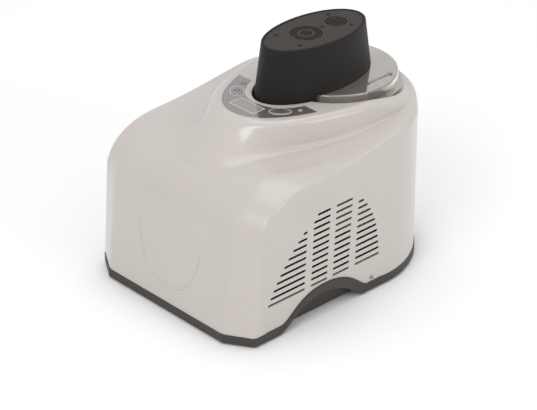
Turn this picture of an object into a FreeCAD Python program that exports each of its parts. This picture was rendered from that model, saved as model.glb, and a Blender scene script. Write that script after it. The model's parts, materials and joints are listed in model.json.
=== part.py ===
import FreeCAD, Part
import math
import os

# Compressor ice cream maker, millimetres.
# +Z up, front face towards -Y, origin on the floor under the middle of the body.

V = FreeCAD.Vector
UP = V(0, 0, 1)

# ---- driving dimensions -------------------------------------------------
WIDTH = 290.0          # across the two flat sides
LENGTH = 392.0         # front face to rear wall
FOOT = 3.0             # rubber feet below the base tray
WALL = 3.0             # moulded shell thickness
BASE_H = 11.3          # height of the dark base band
BODY_TOP = 200.0       # shoulder height above the base band's lower edge
DECK = 219.0           # ledge that the lid stands on
REAR_TOP = 218.5       # the body's top has risen to this height behind the lid
TOWER_TOP = 238.0      # control panel level
KNEE_Z = 137.0         # the front leans up to this height, then arcs back
FRONT_LEAN, SIDE_LEAN = 14.0, 8.0
FRONT_CROWN, SIDE_CROWN = 110.0, 128.0   # depths at which the arcs reach the top
CHAMFER_X = 108.8      # front face ends here, corner chamfer begins
CHAMFER_Y = 22.5       # chamfer depth on the side
SIDE_END = 257.0       # the flat sides end here and the round rear begins
LID_D = 297.0          # bowl, lid and paddle axis behind the front face
MOTOR_D = 259.0        # middle of the motor unit behind the front face
CLEAR = 0.4            # gap between separate mouldings
ABOVE_ALL = 400.0      # cutters reach up to here

HALF = WIDTH / 2
LID_Y = LID_D - LENGTH / 2
MOTOR_Y = MOTOR_D - LENGTH / 2

BOWL_R = 72.0
BOWL_WALL = 1.2
BOWL_FLOOR = 74.0
BOWL_TOP = 217.0
WELL_R = 73.5
WELL_WALL = 1.5
COIL_TUBE_R = 3.0
FOAM_R = 98.0
LID_R = 83.0
FLANGE_R = 88.0
LID_TOP = 241.0
LID_WALL = 2.3
RECESS_R = 97.0

MOTOR_BASE_Z = 242.0
MOTOR_TOP_Z = 307.0
MOTOR_A, MOTOR_B = 51.5, 95.0      # half width and half length at the foot
MOTOR_A_TOP, MOTOR_B_TOP = 44.5, 82.0
MOTOR_FOOT_Z = 221.0
MOTOR_WALL = 2.5

MODULE = 1.0
PINION_T, IDLER_T, IDLER_SMALL_T, OUTPUT_T = 12, 48, 14, 70


def back(depth):
    """Y of a point that lies depth behind the front face."""
    return depth - LENGTH / 2


def lvl(height):
    """Z of a point that lies height above the base band's lower edge."""
    return height + FOOT


def save(name, *solids):
    shape = solids[0] if len(solids) == 1 else Part.makeCompound(list(solids))
    assert shape.isValid(), name
    shape.exportStep("parts/" + name + ".step")


def box(x0, x1, y0, y1, z0, z1):
    return Part.makeBox(x1 - x0, y1 - y0, z1 - z0, V(x0, y0, z0))


def rod(x, y, z0, z1, r):
    return Part.makeCylinder(r, z1 - z0, V(x, y, z0))


def rod_x(x0, x1, y, z, r):
    return Part.makeCylinder(r, x1 - x0, V(x0, y, z), V(1, 0, 0))


def rod_y(x, y0, y1, z, r):
    return Part.makeCylinder(r, y1 - y0, V(x, y0, z), V(0, 1, 0))


def tube(x, y, z0, z1, r_out, r_in):
    return rod(x, y, z0, z1, r_out).cut(rod(x, y, z0 - 1, z1 + 1, r_in))


def prism(points, z0, z1):
    wire = Part.makePolygon([V(x, y, z0) for x, y in points + points[:1]])
    return Part.Face(wire).extrude(V(0, 0, z1 - z0))


def oval(x, y, z0, z1, a, b, turn=0.0):
    """Elliptical prism, a along X and b along Y before the turn."""
    major, minor = max(a, b), min(a, b)
    ellipse = Part.Ellipse(V(0, 0, 0), major, minor)
    face = Part.Face(Part.Wire(ellipse.toShape()))
    face.rotate(V(0, 0, 0), UP, turn + (90.0 if b > a else 0.0))
    face.translate(V(x, y, z0))
    return face.extrude(V(0, 0, z1 - z0))


def bezier(*points):
    curve = Part.BezierCurve()
    curve.setPoles([V(*p) for p in points])
    return curve.toShape()


def line(p, q):
    return Part.LineSegment(V(*p), V(*q)).toShape()


def pipe(points, r):
    """Round tube of straight runs with ball corners."""
    solids = []
    for p, q in zip(points, points[1:]):
        run = V(*q) - V(*p)
        solids.append(Part.makeCylinder(r, run.Length, V(*p), run))
    for p in points[1:-1]:
        solids.append(Part.makeSphere(r, V(*p)))
    return solids[0].multiFuse(solids[1:]).removeSplitter()


def mirror_x(shape):
    return shape.mirror(V(0, 0, 0), V(1, 0, 0))


# ---- outer form of the body --------------------------------------------
def footprint(inset, z):
    """Plan outline: straight front, chamfered corners, round rear."""
    t = inset
    rear = LENGTH / 2 - t
    k = 0.7071 * t
    right = [
        line((CHAMFER_X - 0.4 * t, back(t), z), (HALF - t, back(CHAMFER_Y + 0.5 * t), z)),
        line((HALF - t, back(CHAMFER_Y + 0.5 * t), z), (HALF - t, back(SIDE_END), z)),
        bezier((HALF - t, back(SIDE_END), z), (HALF - t, back(SIDE_END + 28), z),
               (131 - k, back(317.5) - k, z), (112 - k, back(338) - k, z)),
        bezier((112 - k, back(338) - k, z), (81.4 - k, back(371) - k, z), (40, rear, z), (0, rear, z)),
    ]
    left = [mirror_x(edge) for edge in reversed(right)]
    front = line((-CHAMFER_X + 0.4 * t, back(t), z), (CHAMFER_X - 0.4 * t, back(t), z))
    return Part.Wire(Part.__sortEdges__([front] + right + left))


RISE = [(140.0, BODY_TOP), (235.0, BODY_TOP), (268.0, REAR_TOP), (350.0, REAR_TOP)]


def split_rise():
    """The rising line of the body's top, parted where the flat sides end."""
    low, high = 0.0, 1.0
    for _ in range(40):
        t = (low + high) / 2
        rows = [RISE]
        while len(rows[-1]) > 1:
            row = rows[-1]
            rows.append([((1 - t) * a[0] + t * b[0], (1 - t) * a[1] + t * b[1]) for a, b in zip(row, row[1:])])
        low, high = (t, high) if rows[-1][0][0] < SIDE_END else (low, t)
    return [row[0] for row in rows], [row[-1] for row in reversed(rows)]


def side_profile(x, inset, lean, front, crown):
    """Closed side-view wire in the plane X = x: leaning front, long arc, top that rises to the rear."""
    z0 = lvl(BASE_H)
    t = inset
    foot = (x, back(front + t), z0)
    knee = (x, back(front + lean + t), lvl(KNEE_Z))
    shoulder = (x, back(crown), lvl(BODY_TOP) - t)
    climb = [(x, back(d), lvl(z) - t) for d, z in split_rise()[0]]
    rear_foot = (x, back(SIDE_END), z0)
    rise = V(0, lean, KNEE_Z - BASE_H).normalize() * 30
    arc = bezier(knee, (x, knee[1] + rise.y, knee[2] + rise.z), (x, back(crown - 62) + 0.5 * t, shoulder[2]), shoulder)
    return [line(foot, knee), arc, line(shoulder, climb[0]), bezier(*climb), line(climb[-1], rear_foot),
            line(rear_foot, foot)]


def wedge(inset):
    """Corner band between the front face's profile and the side panel's profile."""
    inner = Part.Wire(side_profile(CHAMFER_X - 0.4 * inset, inset, FRONT_LEAN, 0.0, FRONT_CROWN))
    outer = Part.Wire(side_profile(HALF - inset, 0.5 * inset, SIDE_LEAN, CHAMFER_Y, SIDE_CROWN))
    return Part.makeLoft([inner, outer], True, True)


def above_rise(inset):
    """Everything above the rear part of the body's rising top."""
    climb = [(-WIDTH, back(d), lvl(z) - inset) for d, z in split_rise()[1]]
    start, end = climb[0], climb[-1]
    high_end, high_start = (-WIDTH, end[1], ABOVE_ALL), (-WIDTH, start[1], ABOVE_ALL)
    edges = [bezier(*climb), line(end, high_end), line(high_end, high_start), line(high_start, start)]
    return Part.Face(Part.Wire(edges)).extrude(V(2 * WIDTH, 0, 0))


def body_block(inset):
    core = Part.Face(Part.Wire(side_profile(-CHAMFER_X + 0.4 * inset, inset, FRONT_LEAN, 0.0, FRONT_CROWN)))
    core = core.extrude(V(2 * (CHAMFER_X - 0.4 * inset), 0, 0))
    right = wedge(inset)
    rear_plan = Part.Face(footprint(inset, lvl(BASE_H)))
    rear = rear_plan.extrude(V(0, 0, REAR_TOP - BASE_H - inset))
    rear = rear.common(box(-HALF - 1, HALF + 1, back(SIDE_END), LENGTH, 0, 400)).cut(above_rise(inset))
    return core.multiFuse([right, mirror_x(right), rear]).removeSplitter()


TOWER_MIDDLE = 240.0     # insets of the tower point at the axis at this depth
TOWER_EDGE_R = 8.0
# poles of the tower's right half: at the foot, then at the top
TOWER_FOOT = [(0, 68), (32, 68), (44, 86), (52, 106), (78, 170), (112, 240), (112, LID_D),
              (112, 345), (68, 388), (0, 388)]
TOWER_CROWN = [(0, 110), (30, 110), (53, 128), (68, 151), (86, 181), (102, 235), (109, LID_D),
               (109, 343), (67, 385), (0, 385)]


def tower_outline(inset, share, z):
    """Egg-shaped plan, part way from the tower's foot to its top, moved inwards by inset."""
    poles = []
    for (x0, d0), (x1, d1) in zip(TOWER_FOOT, TOWER_CROWN):
        x, d = x0 + share * (x1 - x0), d0 + share * (d1 - d0)
        off_x, off_y = x, d - TOWER_MIDDLE
        reach = math.hypot(off_x, off_y)
        poles.append((x - inset * off_x / reach, back(d - inset * off_y / reach), z))
    right = [bezier(*poles[first:first + 4]) for first in (0, 3, 6)]
    left = [mirror_x(edge) for edge in reversed(right)]
    return Part.Wire(Part.__sortEdges__(right + left))


def tower_block(inset):
    """Tower with a nose that slopes back and a rounded top shoulder."""
    top = lvl(TOWER_TOP) - inset
    rows = [tower_outline(inset, 0.0, lvl(BODY_TOP) - 20), tower_outline(inset, 0.0, lvl(BODY_TOP))]
    for degrees in (0, 30, 60, 90):
        angle = math.radians(degrees)
        z = top - TOWER_EDGE_R * (1 - math.sin(angle))
        share = min(1.0, (z - lvl(BODY_TOP)) / (TOWER_TOP - BODY_TOP))
        rows.append(tower_outline(inset + TOWER_EDGE_R * (1 - math.cos(angle)), share, z))
    return Part.makeLoft(rows, True, True)


SLOPE_START, SLOPE_DROP = 225.0, 24.0


def rear_slope():
    """Everything above the plane that lowers the tower's rear to the lid flange."""
    start, end = back(SLOPE_START), LENGTH / 2 + 20
    profile = [(start, lvl(TOWER_TOP)), (end, lvl(TOWER_TOP) - SLOPE_DROP), (end, ABOVE_ALL), (start, ABOVE_ALL)]
    wire = Part.makePolygon([V(-200, y, z) for y, z in profile + profile[:1]])
    return Part.Face(wire).extrude(V(400, 0, 0))


def outer_form(inset):
    form = body_block(inset).fuse(tower_block(inset))
    slope = rear_slope()
    slope.translate(V(0, 0, -inset))
    return form.cut(slope).removeSplitter()


def motor_ring(z, grow=0.0):
    """Ellipse wire of the motor unit's wall at height z."""
    share = (z - lvl(MOTOR_FOOT_Z)) / (MOTOR_TOP_Z - MOTOR_FOOT_Z)
    a = MOTOR_A + share * (MOTOR_A_TOP - MOTOR_A) + grow
    b = MOTOR_B + share * (MOTOR_B_TOP - MOTOR_B) + grow
    ellipse = Part.Ellipse(V(0, 0, 0), b, a)
    wire = Part.Wire(ellipse.toShape())
    wire.rotate(V(0, 0, 0), UP, 90)
    wire.translate(V(0, MOTOR_Y, z))
    return wire


def motor_block(z0, z1, grow=0.0):
    return Part.makeLoft([motor_ring(z0, grow), motor_ring(z1, grow)], True, True)


# ---- side vents and the lower arch ---------------------------------------
SLOT_H = 2.8
SLOT_PITCH = 8.9
SLOT_ROW0 = 48.0
SLOT_ROWS = 12
SLOT_LEAN = 0.48                               # each row starts this much further back
SLOT_MIN = 6.0
MIDDLE_SLOTS = [(117.6, 146.3), (155.8, 184.6)]
FRONT_SLOT_END, REAR_SLOT_START = 107.3, 194.9
FRONT_ARCH = (44.7, 0.438, 0.00387)            # front ends of the slots: powers 0, 1, 2 of the height
REAR_ARCH = (238.8, -0.07, 0.0, -0.0000325)    # rear ends of the slots: powers 0 to 3
VENT_SKIN = 1.4                                # wall left between the slots
VENT_POCKET = (43.0, 241.0, 46.5, 150.0)       # thinned region inside: depths, then heights


def slot_spans(row):
    """Left and right ends, behind the front face, of each slot in one row."""
    up = row * SLOT_PITCH
    lean = SLOT_LEAN * row
    front_end = sum(term * up ** power for power, term in enumerate(FRONT_ARCH))
    rear_end = sum(term * up ** power for power, term in enumerate(REAR_ARCH))
    spans = [(start + lean, end + lean) for start, end in MIDDLE_SLOTS]
    if row == SLOT_ROWS - 1:
        return [(spans[0][0] + SLOT_MIN, spans[0][1]), spans[1]]
    if front_end + SLOT_MIN < FRONT_SLOT_END + lean:
        spans.append((front_end, FRONT_SLOT_END + lean))
    if rear_end - SLOT_MIN > REAR_SLOT_START + lean:
        spans.append((REAR_SLOT_START + lean, rear_end))
    return spans


def vent_slots(x0, x1):
    slots = []
    half = SLOT_H / 2
    for row in range(SLOT_ROWS):
        z = lvl(SLOT_ROW0 + row * SLOT_PITCH)
        for left, right in slot_spans(row):
            y0, y1 = back(left) + half, back(right) - half
            slots.append(box(x0, x1, y0, y1, z - half, z + half))
            slots.append(rod_x(x0, x1, y0, z, half))
            slots.append(rod_x(x0, x1, y1, z, half))
    return slots[0].multiFuse(slots[1:]).removeSplitter()


ARCH_D = 141.5
# poles of the arch's two halves, front to rear, relative to ARCH_D and above the base band's lower edge
ARCH_OUTER = [[(-74.0, BASE_H), (-58.0, 13.0), (-44.0, 43.0), (0.0, 43.0)],
              [(0.0, 43.0), (48.0, 43.5), (62.0, 15.0), (75.5, BASE_H)]]
ARCH_INNER = [[(-77.5, 0.0), (-57.5, 4.0), (-46.5, 31.0), (-5.5, 31.0)],
              [(-5.5, 31.0), (36.5, 31.0), (50.5, 6.0), (67.5, 0.0)]]


def arch_prism(x0, x1, halves, grow, z_low):
    """Bell-shaped arch extruded along X; grow widens its outline."""
    edges = []
    for half in halves:
        poles = []
        for d, height in half:
            outwards = math.copysign(grow, d) if abs(d) > 10 else 0.0
            poles.append((x0, back(ARCH_D) + d + outwards, lvl(height) + (grow if height > 20 else 0.0)))
        edges.append(bezier(*poles))
    first, last = edges[0].Vertexes[0].Point, edges[1].Vertexes[-1].Point
    edges.append(line((x0, last.y, last.z), (x0, last.y, z_low)))
    edges.append(line((x0, last.y, z_low), (x0, first.y, z_low)))
    edges.append(line((x0, first.y, z_low), (x0, first.y, first.z)))
    return Part.Face(Part.Wire(Part.__sortEdges__(edges))).extrude(V(x1 - x0, 0, 0))


# ---- base ---------------------------------------------------------------
BASE_SCREWS = [(-98, 9), (98, 9), (-138, 250), (138, 250), (-62, 370), (62, 370)]
FEET = [(-112, 34), (112, 34), (-104, 318), (104, 318)]
FOOT_R = 11.0
SCOOP_DEPTH = 17.5


def base_tray():
    """Dark tray: floor, perimeter band and the two hand-hold scoops."""
    z0, z1 = FOOT, lvl(BASE_H)
    outer = Part.Face(footprint(-1.0, z0)).extrude(V(0, 0, z1 - z0))
    inner = Part.Face(footprint(2.2, z0 + WALL)).extrude(V(0, 0, z1))
    tray = outer.cut(inner)
    for side in (-1, 1):
        x_out, x_in = side * (HALF + 1.0), side * (HALF - SCOOP_DEPTH)
        x0, x1 = min(x_out, x_in), max(x_out, x_in)
        tray = tray.fuse(arch_prism(x0, x1, ARCH_OUTER, 0.0, z0))
    for side in (-1, 1):
        x_out, x_in = side * (HALF + 5.0), side * (HALF - SCOOP_DEPTH + WALL)
        x0, x1 = min(x_out, x_in), max(x_out, x_in)
        tray = tray.cut(arch_prism(x0, x1, ARCH_INNER, 0.0, -1.0))
    for x, d in BASE_SCREWS:
        tray = tray.cut(rod(x, back(d), 0, 40, 2.2)).cut(rod(x, back(d), 0, z0 + 1.8, 3.6))
    for x, d in FEET:
        tray = tray.cut(rod(x, back(d), 0, z0 + 1.0, FOOT_R + 0.2))
        tray = tray.cut(rod(x, back(d), 0, 40, 2.6))
    return tray.removeSplitter()


def foot(x, d):
    pad = Part.makeCone(FOOT_R - 1.0, FOOT_R, FOOT + 0.9, V(x, back(d), 0))
    return pad.fuse(rod(x, back(d), FOOT, FOOT + 8, 2.5)).cut(rod(x, back(d), -1, 1.0, 4.0))


def pan_screw(x, y, z_head, length, r, direction=1):
    """Pan-head screw; the shank points along +Z when direction is 1."""
    head_h = 0.7 * r
    low = z_head if direction == 1 else z_head - head_h
    head = rod(x, y, low, low + head_h, 1.9 * r)
    shank_low = low + head_h if direction == 1 else low - length
    screw = head.fuse(rod(x, y, shank_low, shank_low + length, r))
    slot_low = low if direction == 1 else low + 0.5 * head_h
    for turn in (0, 90):
        bar = box(-1.2 * r, 1.2 * r, -0.25 * r, 0.25 * r, slot_low, slot_low + 0.5 * head_h)
        bar.rotate(V(0, 0, 0), UP, turn)
        bar.translate(V(x, y, 0))
        screw = screw.cut(bar)
    return screw


# ---- housing shell --------------------------------------------------------
BUTTONS = {"start_button": (-40.0, 162.5, 137.0), "timer_button": (40.0, 162.5, 43.0)}
BUTTON_A, BUTTON_B = 13.0, 7.6
LCD = (-21.0, 21.0, 134.0, 152.4)
LED_D, LED_X = 183.0, 55.0
BOARD_Z = 217.0
BOARD_SCREWS = [(-36, 140), (36, 140)]
INLET_Z = 52.0
REAR_SLOTS, REAR_SLOT_Z, REAR_SLOT_PITCH, REAR_SLOT_HALF = 6, 86.0, 9.0, 34.0
INLET_W, INLET_H = 33.0, 26.0
SOCKET_D = 184.0
RELIEF_HALF, RELIEF_LOW = 57.0, 33.0
RELIEF_RIB, RELIEF_PROUD = 2.4, 0.7


def crescent(inset, z0, z1):
    """Control panel outline between two arcs around the motor unit's nose."""
    t = inset
    outer = [
        bezier((0, back(118.5) + t, z0), (34, back(118.5) + t, z0), (57 - t, back(150), z0), (72.5 - t, back(196.4) - t, z0)),
        bezier((-72.5 + t, back(196.4) - t, z0), (-57 + t, back(150), z0), (-34, back(118.5) + t, z0), (0, back(118.5) + t, z0)),
    ]
    inner = [
        bezier((49.5 + t, back(196.4) - t, z0), (40 + t, back(172) - t, z0), (26, back(157) - t, z0), (0, back(157) - t, z0)),
        bezier((0, back(157) - t, z0), (-26, back(157) - t, z0), (-40 - t, back(172) - t, z0), (-49.5 - t, back(196.4) - t, z0)),
    ]
    ends = [
        line((72.5 - t, back(196.4) - t, z0), (49.5 + t, back(196.4) - t, z0)),
        line((-49.5 - t, back(196.4) - t, z0), (-72.5 + t, back(196.4) - t, z0)),
    ]
    wire = Part.Wire(Part.__sortEdges__(outer + inner + ends))
    return Part.Face(wire).extrude(V(0, 0, z1 - z0))


def button_prism(name, grow, z0, z1):
    x, d, turn = BUTTONS[name]
    return oval(x, back(d), z0, z1, BUTTON_A + grow, BUTTON_B + grow, turn)


def panel_holes(z0, z1):
    """Openings through the panel for the keys, the display and the lamp."""
    x0, x1, d0, d1 = LCD
    cutters = [button_prism(name, 0.4, z0, z1) for name in BUTTONS]
    cutters.append(box(x0, x1, back(d0), back(d1), z0, z1))
    cutters.append(rod(LED_X, back(LED_D), z0, z1, 1.6))
    return cutters


def relief_outline(half, low):
    """U-shaped region of the front face, extruded along Y across the wall."""
    top, y0 = lvl(108), back(-5)
    edges = [
        bezier((-half, y0, top), (-half + 2, y0, lvl(60)), (-0.6 * half, y0, low), (0, y0, low)),
        bezier((0, y0, low), (0.6 * half, y0, low), (half - 2, y0, lvl(60)), (half, y0, top)),
        line((half, y0, top), (-half, y0, top)),
    ]
    return Part.Face(Part.Wire(edges)).extrude(V(0, 30, 0))


def front_relief():
    """Raised U-shaped rib on the front face."""
    band = relief_outline(RELIEF_HALF, lvl(RELIEF_LOW))
    inner = relief_outline(RELIEF_HALF - RELIEF_RIB, lvl(RELIEF_LOW + RELIEF_RIB))
    inner = inner.fuse(box(-LENGTH, LENGTH, -LENGTH, 0, lvl(104), lvl(120)))
    slab = body_block(-RELIEF_PROUD).cut(body_block(1.0))
    return slab.common(band).cut(inner)


def housing_shell():
    shell = outer_form(0.0).cut(outer_form(WALL))
    z_deck = lvl(DECK)
    # lid recess and the lobe for the motor unit's foot, with a ledge below them
    ledge = rod(0, LID_Y, z_deck - WALL, z_deck, RECESS_R + 2).fuse(motor_lobe(z_deck - WALL, z_deck, 2.0 + CLEAR))
    ledge = ledge.common(outer_form(1.0))
    collar = rod(0, LID_Y, z_deck - 1, lvl(TOWER_TOP), RECESS_R + 2)
    collar = collar.fuse(motor_lobe(z_deck - 1, lvl(TOWER_TOP), 2.0 + CLEAR)).common(outer_form(1.0))
    shell = shell.fuse(collar).fuse(ledge)
    shell = shell.cut(rod(0, LID_Y, z_deck, lvl(260), RECESS_R))
    shell = shell.cut(motor_lobe(z_deck, lvl(260), CLEAR + 0.6))
    shell = shell.cut(rod(0, LID_Y, z_deck - 10, lvl(260), WELL_R + 7.5))
    # panel recess, socket window, vents, arches, rear inlet
    shell = shell.cut(crescent(0.0, lvl(TOWER_TOP) - 0.6, lvl(TOWER_TOP) + 1))
    for cutter in panel_holes(lvl(TOWER_TOP) - 10, lvl(TOWER_TOP) + 1):
        shell = shell.cut(cutter)
    shell = shell.cut(box(-12, 12, back(SOCKET_D) - 6, back(SOCKET_D) + 6, z_deck - 10, z_deck + 1))
    shell = shell.cut(vent_slots(HALF - 8, HALF + 4)).cut(vent_slots(-HALF - 4, -HALF + 8))
    d0, d1, z0, z1 = VENT_POCKET
    for x0, x1 in ((HALF - 8, HALF - VENT_SKIN), (-HALF + VENT_SKIN, -HALF + 8)):
        shell = shell.cut(box(x0, x1, back(d0), back(d1), lvl(z0), lvl(z1)))
    for x0, x1 in ((HALF - 8, HALF + 8), (-HALF - 8, -HALF + 8)):
        shell = shell.cut(arch_prism(x0, x1, ARCH_OUTER, CLEAR, 0.0))
    shell = shell.cut(box(-INLET_W / 2, INLET_W / 2, LENGTH / 2 - 12, LENGTH / 2 + 2,
                          lvl(INLET_Z) - INLET_H / 2, lvl(INLET_Z) + INLET_H / 2))
    for row in range(REAR_SLOTS):
        z = lvl(REAR_SLOT_Z + REAR_SLOT_PITCH * row)
        shell = shell.cut(box(-REAR_SLOT_HALF, REAR_SLOT_HALF, LENGTH / 2 - 14, LENGTH / 2 + 2, z - SLOT_H / 2, z + SLOT_H / 2))
    shell = shell.fuse(front_relief())
    for x, d in BASE_SCREWS:
        post = rod(x, back(d), lvl(BASE_H), lvl(46), 5.0).cut(rod(x, back(d), 0, lvl(40), 1.7))
        shell = shell.fuse(post.common(outer_form(1.0)))
    for x, d in BOARD_SCREWS:
        post = rod(x, back(d), lvl(BOARD_Z) + 1.6, lvl(TOWER_TOP) - 2, 3.0)
        shell = shell.fuse(post.cut(rod(x, back(d), 0, lvl(TOWER_TOP) - 4, 1.2)))
    return shell.removeSplitter()


def motor_lobe(z0, z1, grow):
    """Front lobe of the recess that takes the motor unit's foot."""
    lobe = oval(0, MOTOR_Y, z0, z1, MOTOR_A + grow, MOTOR_B + grow)
    return lobe.common(box(-60, 60, back(140), LID_Y, z0 - 1, z1 + 1))


# ---- control panel --------------------------------------------------------
def control_overlay():
    plate = crescent(0.3, lvl(TOWER_TOP) - 0.5, lvl(TOWER_TOP) + 0.2)
    for cutter in panel_holes(lvl(TOWER_TOP) - 2, lvl(TOWER_TOP) + 2):
        plate = plate.cut(cutter)
    return plate


def lcd_window():
    x0, x1, d0, d1 = LCD
    z = lvl(TOWER_TOP)
    pane = box(x0 + 0.2, x1 - 0.2, back(d0) + 0.2, back(d1) - 0.2, z - WALL - 0.2, z + 0.1)
    rim = box(x0 - 2, x1 + 2, back(d0) - 2, back(d1) + 2, z - WALL - 2.0, z - WALL - 0.2)
    return pane.fuse(rim)


def button(name):
    z = lvl(TOWER_TOP)
    cap = button_prism(name, 0.0, z - 4.6, z + 1.0)
    rim = [edge for edge in cap.Edges if edge.BoundBox.ZMin > z + 0.9]
    cap = cap.makeFillet(0.7, rim)
    collar = button_prism(name, 1.6, z - 6.0, z - 4.6)
    x, d, _ = BUTTONS[name]
    return cap.fuse(collar).fuse(rod(x, back(d), z - 11.4, z - 6.0, 2.0))


def control_board():
    """Circuit board with its display module, key switches and lamp."""
    z = lvl(BOARD_Z)
    right = [(0, 126), (32, 126), (60, 150), (60, 188), (48, 188), (30, 160), (0, 160)]
    outline = [(x, back(d)) for x, d in right] + [(-x, back(d)) for x, d in reversed(right[1:-1])]
    board = prism(outline, z, z + 1.6)
    for x, d in BOARD_SCREWS:
        board = board.cut(rod(x, back(d), z - 1, z + 3, 1.6))
    x0, x1, d0, d1 = LCD
    board = board.fuse(box(x0, x1, back(d0), back(d1), z + 1.6, lvl(TOWER_TOP) - 5.2))
    for x, d, _ in BUTTONS.values():
        board = board.fuse(box(x - 3, x + 3, back(d) - 3, back(d) + 3, z + 1.6, z + 5.6))
        board = board.fuse(rod(x, back(d), z + 5.6, lvl(TOWER_TOP) - 13.0, 1.6))
    return board.fuse(box(-10, 10, back(128), back(132), z - 5, z))


def status_led():
    x, y, z = LED_X, back(LED_D), lvl(TOWER_TOP)
    return rod(x, y, z - 8, z + 0.2, 1.5).fuse(rod(x, y, lvl(BOARD_Z) + 1.6, z - 8, 2.2))


# ---- cooling system -------------------------------------------------------
def well():
    """Fixed aluminium cooling cup with its top flange."""
    z0, z1 = lvl(BOWL_FLOOR) - 3.0, lvl(BOWL_TOP) - 2.4
    cup = rod(0, LID_Y, z0 - WELL_WALL, z1, WELL_R + WELL_WALL).fuse(rod(0, LID_Y, z1 - 1.5, z1, WELL_R + 6.5))
    return cup.cut(rod(0, LID_Y, z0, z1 + 1, WELL_R))


def evaporator_coil():
    """Copper tube wound round the well."""
    r = WELL_R + WELL_WALL + COIL_TUBE_R + 0.2
    z0 = lvl(BOWL_FLOOR) + 4
    helix = Part.makeHelix(14.0, 112.0, r)
    start = helix.Vertexes[0].Point
    section = Part.Wire(Part.makeCircle(COIL_TUBE_R, start, V(0, 1, 0)))
    solid = Part.Wire(helix.Edges).makePipeShell([section], True, True)
    solid.translate(V(0, LID_Y, z0))
    return solid


def insulation():
    """Foam jacket round the coil and below the well."""
    z0, z1 = lvl(BOWL_FLOOR) - 20, lvl(BOWL_TOP) - 8
    r_in = WELL_R + WELL_WALL + 2 * COIL_TUBE_R + 0.5
    block = rod(0, LID_Y - 9, z0, z1, FOAM_R).common(box(-FOAM_R, FOAM_R, -LENGTH, back(380), z0, z1))
    block = block.cut(rod(0, LID_Y, lvl(BOWL_FLOOR) - 5, z1 + 1, r_in))
    inlet_niche = box(-INLET_W / 2, INLET_W / 2, LENGTH / 2 - 26, LENGTH / 2, 0, lvl(INLET_Z) + INLET_H / 2)
    return block.cut(inlet_niche).common(outer_form(WALL + 1.0))


COMP_X, COMP_D, COMP_R = -46.0, 112.0, 54.0
COMP_Z0, COMP_Z1 = 24.0, 150.0
GROMMETS = [(-62, -46), (62, -46), (-62, 46), (62, 46)]


def compressor():
    """Welded steel can on a pressed foot plate, with three stub tubes."""
    y = back(COMP_D)
    can = rod(COMP_X, y, lvl(COMP_Z0), lvl(COMP_Z1), COMP_R)
    rims = [e for e in can.Edges if isinstance(e.Curve, Part.Circle)]
    can = can.makeFillet(20, rims)
    can = can.fuse(rod(COMP_X, y, lvl(84), lvl(88), COMP_R + 2.5))
    plate = box(COMP_X - 72, COMP_X + 72, y - 54, y + 54, lvl(COMP_Z0) - 3, lvl(COMP_Z0) + 0.5)
    for dx, dy in GROMMETS:
        plate = plate.cut(rod(COMP_X + dx, y + dy, 0, 60, 5.4))
    can = can.fuse(plate)
    for dy in (-24, 0, 24):
        can = can.fuse(rod_x(COMP_X + 30, COMP_X + COMP_R + 12, y + dy, lvl(62), 3.2))
    return can.removeSplitter()


def grommet(dx, dy):
    """Rubber mount with a waist that holds the foot plate."""
    x, y = COMP_X + dx, back(COMP_D) + dy
    low = rod(x, y, FOOT + WALL, lvl(COMP_Z0) - 3, 8.0)
    solid = low.fuse(rod(x, y, lvl(COMP_Z0) - 3, lvl(COMP_Z0) + 0.5, 5.2)).fuse(
        rod(x, y, lvl(COMP_Z0) + 0.5, lvl(COMP_Z0) + 6, 8.0))
    return solid.cut(rod(x, y, 0, 60, 2.6))


def grommet_bolt(dx, dy):
    x, y = COMP_X + dx, back(COMP_D) + dy
    z = lvl(COMP_Z0) + 6
    return rod(x, y, FOOT + WALL, z, 2.5).fuse(rod(x, y, z, z + 4, 5.0))


def terminal_cover():
    y = back(COMP_D)
    cover = box(COMP_X - 22, COMP_X + 22, y - COMP_R - 17, y - COMP_R + 22, lvl(74), lvl(120))
    cover = cover.cut(box(COMP_X - 19.5, COMP_X + 19.5, y - COMP_R - 14.5, y - COMP_R + 30, lvl(76.5), lvl(117.5)))
    return cover.cut(rod(COMP_X, y, 0, 200, COMP_R + 2.9))


COND_X0, COND_X1 = 106.0, 128.0
COND_D0, COND_D1 = 66.0, 168.0
COND_Z0, COND_Z1 = 48.0, 150.0
COND_ROWS, COND_PITCH = 6, 17.0


def tube_row(i):
    """Height of one straight run of the condenser's tube."""
    return lvl(COND_Z0) + COND_PITCH * (i + 0.5)


def condenser_fins():
    fins = []
    count = 21
    pitch = (COND_D1 - COND_D0) / (count - 1)
    rows = [tube_row(i) for i in range(COND_ROWS)]
    for i in range(count):
        y = back(COND_D0) + i * pitch
        fin = box(COND_X0, COND_X1, y - 0.4, y + 0.4, lvl(COND_Z0), lvl(COND_Z1))
        for z in rows:
            fin = fin.cut(rod_y((COND_X0 + COND_X1) / 2, y - 2, y + 2, z, COIL_TUBE_R + 0.1))
        fins.append(fin)
    return fins


def condenser_tube():
    """Serpentine copper tube through the fin pack."""
    x = (COND_X0 + COND_X1) / 2
    y0, y1 = back(COND_D0) - 4, back(COND_D1) + 4
    runs, bends = [], []
    for i in range(COND_ROWS):
        z = tube_row(i)
        runs.append(rod_y(x, y0, y1, z, COIL_TUBE_R))
        if i == COND_ROWS - 1:
            continue
        end, start = (y1, 0) if i % 2 == 0 else (y0, 180)
        bend = Part.makeTorus(COND_PITCH / 2, COIL_TUBE_R, V(0, 0, 0), UP, 0, 360, 180)
        bend.rotate(V(0, 0, 0), V(0, 0, 1), start)
        bend.rotate(V(0, 0, 0), V(0, 1, 0), 90)
        bend.translate(V(x, end, z + COND_PITCH / 2))
        bends.append(bend)
    return runs[0].multiFuse(runs[1:] + bends).removeSplitter()


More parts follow.
